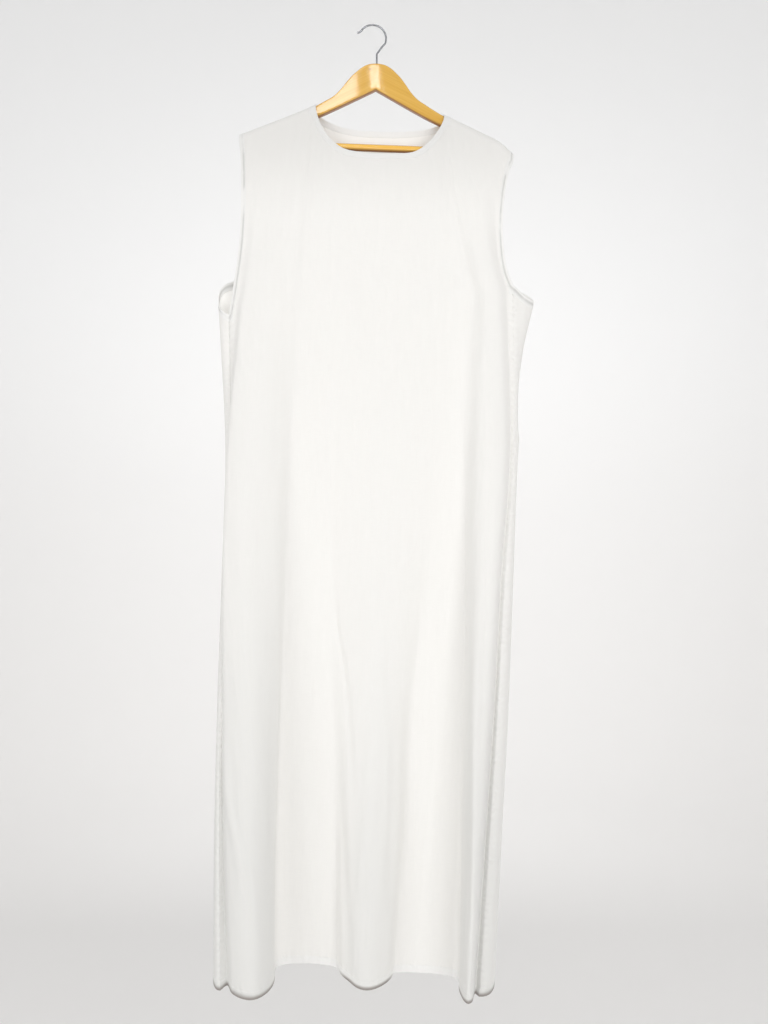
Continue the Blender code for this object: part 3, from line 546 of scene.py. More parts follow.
# Each lamp's place, what it is turned to, its size and its share of the key's power
LAMPS = (
    ("key_lamp", (1.3, -2.4, -0.85), (0.0, 0.0, -0.9), (1.2, 1.6), 0.94),
    ("fill_lamp", (-2.1, -2.1, -0.95), (0.0, 0.0, -0.9), (1.6, 1.8), 0.85),
    ("front_lamp", (0.05, -2.2, -0.7), (0.0, 0.0, -0.8), (0.5, 0.5), 0.2),
    ("wall_lamp", (0.0, 1.6, 0.1), (0.0, 5.0, 0.1), (0.6, 0.6), 1.82),
    ("back_lamp", (1.6, 1.4, 0.3), (0.0, 0.0, -0.9), (0.8, 1.2), 0.2),
    ("varnish_lamp", (-0.113, -1.75, 0.68), (-0.04, 0.0, -0.1), (0.16, 0.3), 0.075),
    ("left_strip_lamp", (-0.0128, -1.75, 0.70), (0.0, 0.0, -0.08), (0.003, 0.3), 0.0034),
    ("right_strip_lamp", (-0.0062, -1.75, 0.70), (0.0, 0.0, -0.08), (0.0036, 0.3), 0.0038),
)

# Which binding a cell of the cloth belongs to
PLAIN, NECK, ARM_LEFT, ARM_RIGHT, HEM = range(5)
# Each binding's kind, piece and the plain nodes it stands for
BINDINGS = (
    (NECK, "neck_binding", ("neck_band",)),
    (ARM_LEFT, "armhole_binding_left", ("armhole_band_left",)),
    (ARM_RIGHT, "armhole_binding_right", ("armhole_band_right",)),
    (HEM, "hem_binding", ()),
)
PANELS = ("front_cloth", "back_cloth")


def point(across, height, forward):
    """A place in the garment's own terms, as a vector in millimetres."""
    return Vector((across, -forward, height))


def directions(places):
    """The way the curve runs through each place and the length its handles take there."""
    found = []
    for index, place in enumerate(places):
        before = place - places[index - 1] if index else None
        after = places[index + 1] - place if index + 1 < len(places) else None
        if before is None:
            before = after
        if after is None:
            after = before
        way = before.normalized() + after.normalized()
        if way.length < NO_LENGTH:
            way = after
        reach = HANDLE * min(before.length, after.length)
        found.append(way.normalized() * reach)
    return found


def curve_through(places, counts, before=None, after=None):
    """Points of a smooth curve through places, counts[i] steps in each span.

    before and after are places past the two ends, which only steer the curve's ends.
    """
    guided = list(places)
    if before is not None:
        guided = [before, *guided]
    if after is not None:
        guided = [*guided, after]
    ways = directions(guided)
    if before is not None:
        ways = ways[1:]
    points = [places[0].copy()]
    for index, count in enumerate(counts):
        start, end = places[index], places[index + 1]
        start_handle = start + ways[index]
        end_handle = end - ways[index + 1]
        for step in range(1, count + 1):
            t = step / count
            s = 1.0 - t
            points.append(
                start * s**3 + start_handle * 3 * s * s * t + end_handle * 3 * s * t * t + end * t**3
            )
    return points


def along(polyline, share):
    """The point at a share, 0 to 1, of a polyline's length."""
    lengths = [(b - a).length for a, b in zip(polyline, polyline[1:])]
    wanted = share * sum(lengths)
    for start, end, length in zip(polyline, polyline[1:], lengths):
        if wanted <= length:
            return start.lerp(end, wanted / length)
        wanted -= length
    return polyline[-1].copy()


def upper_edge(out):
    """Drop of the hanger's upper edge at a distance from its middle."""
    outs, uppers, _, _ = zip(*WOOD_ROWS)
    return float(np.interp(out, outs, uppers))


def arm_forward(out):
    """How far the arm's middle has come forward at a distance from the crown."""
    return ARM_FORWARD * (out / ARM_REACH) ** 2


def shoulder_point(across):
    """The shoulder seam at a place across, just above the hanger's arm or in line with it."""
    out = across - CROWN_ACROSS
    for _ in range(TILT_ROUNDS):
        upper = upper_edge(min(abs(out), STRAIGHT_START))
        upper += max(abs(out) - STRAIGHT_START, 0.0) * SHOULDER_SLOPE
        out = (across - CROWN_ACROSS + upper * math.sin(TILT)) / math.cos(TILT)
    height = CROWN_HEIGHT - upper * math.cos(TILT) - out * math.sin(TILT) + SHOULDER_LIFT
    if across > DROOP_START:
        height -= DROOP * ((across - DROOP_START) / (TIP_RIGHT - DROOP_START)) ** DROOP_POWER
    return point(across, height, arm_forward(abs(out)))


def level_places(level):
    """The stations' places at one level."""
    return [point(across, height, forward) for height, across, forward in zip(*level)]


def at_height(table, height):
    """Across and forward of an armhole's edge at a height, between its rows."""
    heights, across, forward = zip(*reversed(table))
    return float(np.interp(height, heights, across)), float(np.interp(height, heights, forward))


def smooth_table(table):
    """An armhole's table with more rows, read from a smooth curve through its own."""
    places = [point(a, h, f) for h, a, f in table]
    fine = curve_through(places, (TABLE_STEPS,) * (len(places) - 1))
    return [(p.z, p.x, -p.y) for p in fine]


class Panel:
    """One cut piece of the dress: a grid of points with rows down and columns across it."""

    def __init__(self, name, stations, spans, levels, other_levels, side):
        self.name = name
        self.side = side
        self.columns = sum(spans) + 1
        self.marks = {station: sum(spans[:index]) for index, station in enumerate(stations)}
        self.level_rows = []
        for level, other_level in zip(levels, other_levels):
            other = level_places(other_level)
            row = curve_through(level_places(level), spans, before=other[1], after=other[-2])
            self.level_rows.append(row)

    def lower_rows(self):
        """Rows from the underarm line down to the hem, by smooth columns through the levels."""
        columns = []
        for column in range(self.columns):
            places = [row[column] for row in self.level_rows]
            columns.append(curve_through(places, LEVEL_ROWS))
        return [[column[row] for column in columns] for row in range(len(columns[0]))]

    def shoulder_places(self, shoulders):
        """Where each column on the two shoulders meets the seam, across."""
        left, right = ({self.marks[station]: at for station, at in side.items()} for side in shoulders)
        left[self.neck_first - 1] = NECK_LEFT - BAND_WIDTH
        right = {self.neck_last + 1: NECK_RIGHT + BAND_WIDTH, **right}
        places = {self.neck_first: NECK_LEFT, self.neck_last: NECK_RIGHT}
        for known in (left, right):
            marks, values = list(known), list(known.values())
            for column in range(marks[0], marks[-1] + 1):
                places[column] = float(np.interp(column, marks, values))
        return places

    def yoke_rows(self, neck, shoulders, armholes):
        """Rows from the shoulder seams down to the underarm line.

        The first rows roll over the arms. The last of them holds the neck's free edge too, and the
        row under it lies BAND_WIDTH out from that edge.
        """
        first, last = self.first, self.last
        underarm = self.level_rows[0]
        places = self.shoulder_places(shoulders)
        rows = []
        for forward, down in ROLL:
            move = FORWARD * self.side * forward - UP * down
            rows.append({column: shoulder_point(across) + move for column, across in places.items()})
        edge, outer = self.neck_rows(neck, rows)
        rows[-1].update(edge)
        below = {column: place - UP * BAND_DROP for column, place in rows[-1].items()}
        below.update(outer)
        rows.append(below)
        tables = [smooth_table(table) for table in armholes]
        ends = ((first, tables[0]), (last, tables[1]))
        for share in YOKE_STEPS:
            left, right = (self.armhole_pull(below, column, table, share) for column, table in ends)
            row = {}
            for column, start in below.items():
                u = (column - first) / (last - first)
                place = self.hanging(start, underarm[column], share)
                row[column] = place + left * (1 - u) ** YOKE_FADE + right * u**YOKE_FADE
            rows.append(row)
        return rows

    def armhole_pull(self, head, column, table, share):
        """How far an armhole's own edge lies from where the cloth would hang by itself."""
        start, end = head[column], self.level_rows[0][column]
        height = start.z + (end.z - start.z) * share
        across, forward = at_height(table, height)
        top, top_across, top_forward = table[0]
        if height > top:
            near = (start.z - height) / (start.z - top)
            across = start.x + (top_across - start.x) * near
            forward = -start.y + (top_forward + start.y) * near
        return point(across, height, forward) - self.hanging(start, end, share)

    @staticmethod
    def hanging(start, end, share):
        """A place between the shoulder and the underarm: the cloth comes away from the arm early."""
        place = start.lerp(end, share)
        place.y = start.y + (end.y - start.y) * (1 - (1 - share) ** YOKE_EASE)
        return place

    def neck_rows(self, neck, rows):
        """The neck's free edge below the roll and the row BAND_WIDTH out from it, by column."""
        first, last = self.neck_first, self.neck_last
        places = [rows[-1][first], *(point(*row) for row in neck), rows[-1][last]]
        steps = (NECK_STEPS,) * (len(places) - 1)
        fine = curve_through(places, steps, before=rows[-2][first], after=rows[-2][last])
        length = sum((b - a).length for a, b in zip(fine, fine[1:]))
        shares = {column: (column - first) / (last - first) for column in range(first, last + 1)}
        edge = {column: along(fine, share) for column, share in shares.items()}
        near, far = (step / length for step in CORNER_STEPS)
        shares.update({first - 1: near, first: far, last: 1 - far, last + 1: 1 - near})
        outer = {}
        for column, share in shares.items():
            behind = along(fine, max(share - TANGENT_STEP, 0.0))
            ahead = along(fine, min(share + TANGENT_STEP, 1.0))
            way = (ahead - behind).cross(FORWARD)
            way.y = 0.0
            outer[column] = along(fine, share) + way.normalized() * BAND_WIDTH
        return edge, outer

    def build(self, neck, shoulders, armholes, neck_names, yoke_names):
        """Fill the grid: yoke rows over the yoke's columns, then full rows down to the hem.

        neck_names are the stations under the neck's two corners, and yoke_names those that end
        the yoke at the armholes.
        """
        self.neck_first, self.neck_last = (self.marks[name] for name in neck_names)
        self.first, self.last = (self.marks[name] for name in yoke_names)
        yoke = self.yoke_rows(neck, shoulders, armholes)
        self.rows = yoke + [dict(enumerate(row)) for row in self.lower_rows()]
        self.under_row = len(yoke)
        for row in self.rows[: self.under_row + 1]:
            self.slide(row, self.first, 1)
            self.slide(row, self.last, -1)
        self.insert_band_rows()

    def slide(self, row, edge, step):
        """Move the column next to an armhole's edge to the band's width from it.

        The one after it follows, to halfway between its neighbours.
        """
        line = [row[edge + index * step] for index in range(4)]
        total = sum((b - a).length for a, b in zip(line, line[1:]))
        share = min(BAND_WIDTH / total, BAND_SHARE_MOST)
        row[edge + step] = along(line, share)
        row[edge + 2 * step] = along(line, (1.0 + share) / 2)

    def row_beside(self, row, neighbour, width):
        """A row this far from one row along the cloth, on the way to another."""
        beside = {}
        for column, place in self.rows[row].items():
            run = self.rows[neighbour][column] - place
            beside[column] = place + run.normalized() * width
        return beside

    def insert_band_rows(self):
        """Add a row BAND_WIDTH below the underarm line, and one HEM_BAND above the hem."""
        self.rows.insert(self.under_row + 1, self.row_beside(self.under_row, self.under_row + 1, BAND_WIDTH))
        self.rows.insert(len(self.rows) - 1, self.row_beside(-1, -2, HEM_BAND))

    def has(self, row, column):
        """Whether the grid has a point there."""
        return 0 <= row < len(self.rows) and column in self.rows[row]

    def cell(self, row, column):
        """The four corners of a grid cell, in order round its outward side."""
        corners = [(row, column), (row + 1, column), (row + 1, column + 1), (row, column + 1)]
        if self.side < 0:
            corners.reverse()
        return corners

    def cells(self):
        """Every cell whose four corners are in the grid."""
        return [
            (row, column)
            for row in range(len(self.rows) - 1)
            for column in range(self.columns - 1)
            if all(self.has(*corner) for corner in self.cell(row, column))
        ]


def cell_kind(panel, row, column):
    """Which binding covers a cell of a panel's grid."""
    edge_row = len(ROLL) - 1
    beside_neck = column in (panel.neck_first - 1, panel.neck_last)
    under_neck = row == edge_row and panel.neck_first - 1 <= column <= panel.neck_last
    if under_neck or (row < edge_row and beside_neck):
        return NECK
    if row == len(panel.rows) - 2:
        return HEM
    if row <= panel.under_row and column == panel.first or row == panel.under_row and column < panel.first:
        return ARM_LEFT
    if row <= panel.under_row and column == panel.last - 1 or row == panel.under_row and column >= panel.last:
        return ARM_RIGHT
    return PLAIN


def cloth_lengths(panel, centre):
    """Across from the centre column and up from the hem, along the cloth, for every grid point."""
    across = {}
    up = {}
    for row in reversed(range(len(panel.rows))):
        places = panel.rows[row]
        for side in (1, -1):
            columns = range(centre, panel.columns) if side > 0 else range(centre, -1, -1)
            for column in columns:
                if column not in places:
                    continue
                before = column - side
                if column == centre or before not in places:
                    across[row, column] = across.get((row + 1, column), 0.0)
                    continue
                run = (places[column] - places[before]).length
                across[row, column] = across[row, before] + side * run
        for column, place in places.items():
            if panel.has(row + 1, column):
                up[row, column] = up[row + 1, column] + (place - panel.rows[row + 1][column]).length
            else:
                up[row, column] = 0.0
    return across, up


def seam_distance(panel, row, column, across):
    """How far a grid point lies from the nearer side seam, along the cloth."""
    if row < panel.under_row:
        return NO_SEAM
    left = across[row, column] - across[row, 0]
    right = across[row, panel.columns - 1] - across[row, column]
    return min(left, right)


def on_free_edge(panel, row, column):
    """Whether a grid point lies on the neck's, an armhole's or the hem's edge."""
    edge_row = len(ROLL) - 1
    at_neck_side = row <= edge_row and column in (panel.neck_first, panel.neck_last)
    at_neck = row == edge_row and panel.neck_first <= column <= panel.neck_last
    at_hem = row == len(panel.rows) - 1
    at_arm = row <= panel.under_row and column in (panel.first, panel.last)
    under_arm = row == panel.under_row and not panel.first < column < panel.last
    return at_neck_side or at_neck or at_hem or at_arm or under_arm


def fixed_corner(panel, row, column):
    """Whether smoothing has to leave a grid point where it is, because two pieces meet there."""
    ends = (0, panel.columns - 1)
    if row == 0:
        return column in (panel.first, panel.last, panel.neck_first, panel.neck_last)
    return row in (panel.under_row, len(panel.rows) - 1) and column in ends


def finished_mesh(shape, name):
    """A smoothly shaded mesh from a shape that is done."""
    mesh = bpy.data.meshes.new(name)
    shape.to_mesh(mesh)
    shape.free()
    mesh.shade_smooth()
    return mesh


def grid_mesh(panel, centre):
    """The panel's grid as a mesh that carries the cloth's own lengths and its bindings' cells."""
    across, up = cloth_lengths(panel, centre)
    shape = bmesh.new()
    names = ("crease_vert", "from_seam", "from_hem", "rim")
    for name in names:
        shape.verts.layers.float.new(name)
    corner, seam, hem, rim = (shape.verts.layers.float[name] for name in names)
    binding = shape.faces.layers.int.new("binding")
    flat = shape.loops.layers.uv.new("cloth")
    points = {}
    for row, places in enumerate(panel.rows):
        for column, place in places.items():
            made = shape.verts.new(place * MM)
            made[corner] = float(fixed_corner(panel, row, column))
            made[seam] = seam_distance(panel, row, column, across) * MM
            made[hem] = up[row, column] * MM
            made[rim] = float(on_free_edge(panel, row, column))
            points[row, column] = made
    for row, column in panel.cells():
        keys = panel.cell(row, column)
        face = shape.faces.new([points[key] for key in keys])
        face[binding] = cell_kind(panel, row, column)
        for loop, key in zip(face.loops, keys):
            loop[flat].uv = (across[key] * MM, up[key] * MM)
    return finished_mesh(shape, panel.name)


def smoothed(mesh, name):
    """The mesh with each cell split and rounded into the cloth's own curve."""
    holder = bpy.data.objects.new(name, mesh)
    bpy.context.scene.collection.objects.link(holder)
    add_modifier(
        holder, "SUBSURF", levels=SMOOTH_LEVELS, render_levels=SMOOTH_LEVELS,
        boundary_smooth="PRESERVE_CORNERS", uv_smooth="PRESERVE_BOUNDARIES",
    )
    graph = bpy.context.evaluated_depsgraph_get()
    made = bpy.data.meshes.new_from_object(holder.evaluated_get(graph))
    bpy.data.objects.remove(holder)
    bpy.data.meshes.remove(mesh)
    made.name = name
    return made


def read_points(mesh, source, name, width):
    """One value of every point of a mesh, as rows of an array."""
    values = np.empty(len(mesh.vertices) * width, dtype=np.float32)
    source.foreach_get(name, values)
    return values.reshape(-1, width).astype(float)


def shared_normals(meshes):
    """Every point's way out of the cloth, the same for points of two pieces that meet."""
    normals = [read_points(mesh, mesh.vertex_normals, "vector", 3) for mesh in meshes]
    places = [read_points(mesh, mesh.vertices, "co", 3) for mesh in meshes]
    (first, second), (first_at, second_at) = normals, places
    tree = KDTree(len(second_at))
    for index, place in enumerate(second_at):
        tree.insert(place, index)
    tree.balance()
    for index, place in enumerate(first_at):
        _, other, gap = tree.find(place)
        if gap < WELD / 2 * MM:
            both = first[index] + second[other]
            both /= np.linalg.norm(both)
            first[index] = both
            second[other] = both
    return normals, places


def crease_lift(places, creases, strength):
    """How far the creases lift the cloth at each place, in millimetres."""
    spot = places[:, (0, 2)] / MM
    total = np.zeros(len(spot))
    for lift, half_width, marks in creases:
        path = [Vector((across, 0.0, height)) for across, height in marks]
        line = [(p.x, p.z) for p in curve_through(path, (CREASE_STEPS,) * (len(path) - 1))]
        nearest = np.full(len(spot), np.inf)
        share = np.zeros(len(spot))
        for index, (start, end) in enumerate(zip(line, line[1:])):
            start = np.array(start)
            run = np.array(end) - start
            t = np.clip((spot - start) @ run / (run @ run), 0.0, 1.0)
            gap = np.linalg.norm(spot - start - t[:, None] * run, axis=1)
            closer = gap < nearest
            nearest[closer] = gap[closer]
            share[closer] = (index + t[closer]) / (len(line) - 1)
        fade = np.sin(math.pi * share) ** CREASE_ENDS
        total += lift * strength * np.exp(-((nearest / half_width) ** 2)) * fade
    return total


def press(mesh, places, normals, creases, strength):
    """Move a smoothed panel to the cloth's outer face, with its creases and its sunken side seams."""
    seam = read_points(mesh, mesh.attributes["from_seam"].data, "value", 1)[:, 0] / MM
    lift = crease_lift(places, creases, strength) * np.clip(seam / CREASE_CLEAR, 0.0, 1.0)
    lift -= SEAM_SINK * np.exp(-((seam / SEAM_REACH) ** 2))
    moved = places + normals * ((SHELL_OUT + lift) * MM)[:, None]
    mesh.vertices.foreach_set("co", moved.astype(np.float32).ravel())
    mesh.update()
    mesh.shade_smooth()


def place_piece(name, data, node_names, finish):
    """Put a finished piece in the scene, for the plain nodes that it stands for."""
    piece = bpy.data.objects.new(name, data)
    data.materials.clear()
    data.materials.append(finish)
    bpy.context.scene.collection.objects.link(piece)
    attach(piece, "root")
    if node_names:
        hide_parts(*node_names)
    return piece


def add_modifier(piece, kind, **settings):
    """Add a live modifier with its settings."""
    modifier = piece.modifiers.new(kind.title(), kind)
    for key, value in settings.items():
        setattr(modifier, key, value)


def whole_dress():
    """Front and back in one mesh, joined along their seams."""
    shape = bmesh.new()
    for name in PANELS:
        shape.from_mesh(bpy.data.objects[name].data)
    bmesh.ops.remove_doubles(shape, verts=shape.verts, dist=WELD * MM)
    shape.normal_update()
    return shape


def binding_mesh(dress, kind, name):
    """The cloth under one binding, drawn out a little past its free edge."""
    strip = dress.copy()
    binding = strip.faces.layers.int["binding"]
    others = [face for face in strip.faces if face[binding] != kind]
    bmesh.ops.delete(strip, geom=others, context="FACES")
    rim = strip.verts.layers.float["rim"]
    moves = {}
    for vert in strip.verts:
        if vert[rim] < ON_RIM:
            continue
        inner = [edge.other_vert(vert) for edge in vert.link_edges]
        inner = [other for other in inner if other[rim] < ON_RIM]
        way = sum(((vert.co - other.co).normalized() for other in inner), Vector())
        if way.length > 0.0:
            moves[vert] = way.normalized() * BINDING_PAST * MM
    for vert, move in moves.items():
        vert.co += move
    return finished_mesh(strip, name)


def bind_edge(dress, kind, name, node_names, finish):
    """One bound edge as a rounded strip that wraps the cloth's own edge."""
    piece = place_piece(name, binding_mesh(dress, kind, name), node_names, finish)
    thick = BINDING_OUT + BINDING_IN
    add_modifier(
        piece, "SOLIDIFY", thickness=thick * MM, offset=(BINDING_OUT - BINDING_IN) / thick,
    )
    add_modifier(
        piece, "BEVEL", width=BINDING_ROUND * MM, segments=BINDING_SEGMENTS, limit_method="ANGLE",
        angle_limit=BINDING_EDGE,
    )


def inner_lines(dress, kind):
    """The lines along which a binding ends on the cloth, each as places with the way into the binding."""
    binding = dress.faces.layers.int["binding"]
    steps = {}
    inward = {}
    for edge in dress.edges:
        faces = edge.link_faces
        if len(faces) != 2 or {faces[0][binding], faces[1][binding]} != {PLAIN, kind}:
            continue
        bound = faces[0] if faces[0][binding] == kind else faces[1]
        start, end = edge.verts
        way = bound.calc_center_median() - (start.co + end.co) / 2
        for vert, other in ((start, end), (end, start)):
            steps.setdefault(vert, []).append(other)
            inward[vert] = inward.get(vert, Vector()) + way.normalized()
    lines = []
    left = dict(steps)
    while left:
        ends = [vert for vert, others in left.items() if len(others) == 1]
        vert = ends[0] if ends else next(iter(left))
        line = []
        while vert is not None:
            others = left.pop(vert)
            line.append((vert.co.copy(), vert.normal.copy(), inward[vert].normalized()))
            vert = next((other for other in others if other in left), None)
        if not ends:
            line.append(line[0])
        lines.append(line)
    return lines


def sew(shape, line):
    """A row of raised stitches beside one line, from one end of it to the other."""
    waiting = STITCH_PITCH * MM / 2
    size = Matrix.Diagonal((STITCH_HALF * MM, STITCH_THICK * MM, STITCH_THICK * MM, 1.0))
    for (place, normal, inward), (following, _, _) in zip(line, line[1:]):
        run = following - place
        if run.length == 0.0:
            continue
        tangent = run.normalized()
        side = normal.cross(tangent)
        turn = Matrix((tangent, side, normal)).transposed().to_4x4()
        while waiting < run.length:
            centre = place + tangent * waiting + inward * STITCH_INSET * MM
            centre += normal * BINDING_OUT * MM
            bmesh.ops.create_uvsphere(
                shape, u_segments=STITCH_SIDES, v_segments=STITCH_RINGS, radius=1.0,
                matrix=Matrix.Translation(centre) @ turn @ size @ Matrix.Rotation(math.pi / 2, 4, "Y"),
            )
            waiting += STITCH_PITCH * MM
        waiting -= run.length


def lofted(name, sections):
    """A closed skin through sections, each a ring of as many places in metres."""
    shape = bmesh.new()
    order = shape.verts.layers.int.new("order")
    ring = bmesh.ops.create_circle(shape, segments=len(sections[0]), radius=1.0)["verts"]
    for index, vert in enumerate(ring):
        vert[order] = index
        vert.co = sections[0][index]
    edges = list(shape.edges)
    bmesh.ops.edgeloop_fill(shape, edges=edges)
    for section in sections[1:]:
        made = bmesh.ops.extrude_edge_only(shape, edges=edges)["geom"]
        ring = {item for item in made if isinstance(item, bmesh.types.BMVert)}
        edges = [
            item for item in made
            if isinstance(item, bmesh.types.BMEdge) and ring.issuperset(item.verts)
        ]
        for vert in ring:
            vert.co = section[vert[order]]
    bmesh.ops.edgeloop_fill(shape, edges=edges)
    bmesh.ops.recalc_face_normals(shape, faces=shape.faces)
    return finished_mesh(shape, name)


def mark_edges(mesh):
    """Note how far each point of the wood is turned away from the front, and how far down, for painted shade.
    """
    normals = read_points(mesh, mesh.vertex_normals, "vector", 3)
    for name, values in (("edge", 1.0 - np.abs(normals[:, 1])), ("under", -normals[:, 2])):
        made = mesh.attributes.new(name, "FLOAT", "POINT")
        made.data.foreach_set("value", values.astype(np.float32))


def hanger_place():
    """Where the hanger's own frame stands: at the top of its crown, leaning down to the right."""
    turn = Matrix.Rotation(TILT, 4, "Y")
    return Matrix.Translation(point(CROWN_ACROSS, CROWN_HEIGHT, 0.0) * MM) @ turn


def wood_section(out, upper, lower, thick):
    """One upright section of the hanger with flat faces and rounded corners, in the row's own frame."""
    place = hanger_place()
    middle = -(upper + lower) / 2
    half_height = (lower - upper) / 2
    half_thick = thick / 2
    rounder = ROUNDER * min(max((abs(out) - ROUNDER_FROM) / ROUNDER_OVER, 0.0), 1.0)
    radius = min(WOOD_ROUNDING + rounder, half_thick, half_height)
    leads = [min(WOOD_LEAD, (half - radius) / 2) for half in (half_height, half_thick)]
    section = []
    for corner in range(4):
        first = math.pi / 2 * corner
        wide = math.copysign(half_thick - radius, math.cos(first + math.pi / 4))
        tall = math.copysign(half_height - radius, math.sin(first + math.pi / 4))
        angles = [first + math.pi / 2 * step / WOOD_CORNER_STEPS for step in range(WOOD_CORNER_STEPS + 1)]
        arc = [(wide + radius * math.cos(a), tall + radius * math.sin(a)) for a in angles]
        for (depth, rise), angle, lead in ((arc[0], angles[0], -1), (arc[-1], angles[-1], 1)):
            reach = lead * leads[(corner + (lead > 0)) % 2]
            end = (depth - math.sin(angle) * reach, rise + math.cos(angle) * reach)
            arc.insert(0 if lead < 0 else len(arc), end)
        for depth, rise in arc:
            place_here = point(out, middle + rise, arm_forward(abs(out)) + depth)
            section.append(place @ (place_here * MM))
    return section


def wood_sections():
    """Sections from the left arm's end to the right one's, with smooth steps between the table's rows."""
    marks = [Vector((out, upper, lower, thick * WOOD_THICK)) for out, upper, lower, thick in WOOD_ROWS]
    fine = curve_through(marks, (WOOD_STEPS,) * (len(marks) - 1))
    left = [wood_section(-row[0], *row[1:]) for row in reversed(fine[1:])]
    return left + [wood_section(*row) for row in fine]


def bar_mesh(name):
    """The round bar between the two arms."""
    radius = BAR_RADIUS * MM
    shape = bmesh.new()
    bmesh.ops.create_cone(
        shape, cap_ends=True, segments=BAR_ROUND, radius1=radius, radius2=radius, depth=2 * BAR_HALF * MM,
    )
    middle = point(0.0, -BAR_DROP, arm_forward(BAR_HALF)) * MM
    place = hanger_place() @ Matrix.Translation(middle) @ Matrix.Rotation(math.pi / 2, 4, "Y")
    bmesh.ops.transform(shape, matrix=place, verts=shape.verts)
    mesh = finished_mesh(shape, name)
    mesh.set_sharp_from_angle(angle=BAR_EDGE)
    mark_edges(mesh)
    return mesh


def hook_route():
    """The wire's middle line, from the end in the crown to the free tip."""
    centre = point(0.0, -BEND_CENTRE_DROP, 0.0)
    shank = [
        point(SHANK_ACROSS, CROWN_HEIGHT - WIRE_IN_WOOD, 0.0),
        point(SHANK_ACROSS, CROWN_HEIGHT, 0.0),
    ]
    sweep = [point(SHANK_ACROSS + across, SHANK_TOP + up, 0.0) for across, up in HOOK_SWEEP]
    bend = []
    for step in range(BEND_POINTS):
        angle = BEND_START + (BEND_END - BEND_START) * step / (BEND_POINTS - 1)
        bend.append(centre + point(math.cos(angle), math.sin(angle), 0.0) * BEND_RADIUS)
    flick = [bend[-1] + point(across, up, 0.0) for across, up in HOOK_FLICK]
    rounded = curve_through([*sweep, bend[0]], (2, 2, 2), before=shank[-1])
    return [*shank, *rounded[:-1], *bend, *flick]


class Value:
    """A number that changes over a surface. Sums on it add the finish's own Math nodes."""

    def __init__(self, finish, socket):
        self.finish = finish
        self.socket = socket

    def sum(self, operation, *terms):
        """One Math node."""
        made = self.finish.node("ShaderNodeMath", {"operation": operation}, dict(enumerate(terms)))
        return Value(self.finish, made.outputs[0])

    def __add__(self, other):
        return self.sum("ADD", self, other)

    __radd__ = __add__

    def __sub__(self, other):
        return self.sum("SUBTRACT", self, other)

    def __rsub__(self, other):
        return self.sum("SUBTRACT", other, self)

    def __mul__(self, other):
        return self.sum("MULTIPLY", self, other)

    __rmul__ = __mul__

    def __truediv__(self, other):
        return self.sum("DIVIDE", self, other)

    def __pow__(self, other):
        return self.sum("POWER", self, other)

    def __abs__(self):
        return self.sum("ABSOLUTE", self)

    def spread(self, least, more):
        """Least where this value is nought, and that much more where it is one."""
        return self * more + least

    def wave(self, pitch):
        """A sine of this length, in metres of this value."""
        return self.sum("SINE", self * (2 * math.pi / pitch))

    def fade(self, reach):
        """One where this value is nought, and falling to nothing past the reach."""
        return self.sum("EXPONENT", (self / reach) ** 2 * -1)

    def between(self, low, high):
        """Nought up to low, one from high, and a smooth step between."""
        made = self.finish.node(
            "ShaderNodeMapRange", {"interpolation_type": "SMOOTHSTEP"},
            {"Value": self, "From Min": low, "From Max": high},
        )
        return Value(self.finish, made.outputs["Result"])


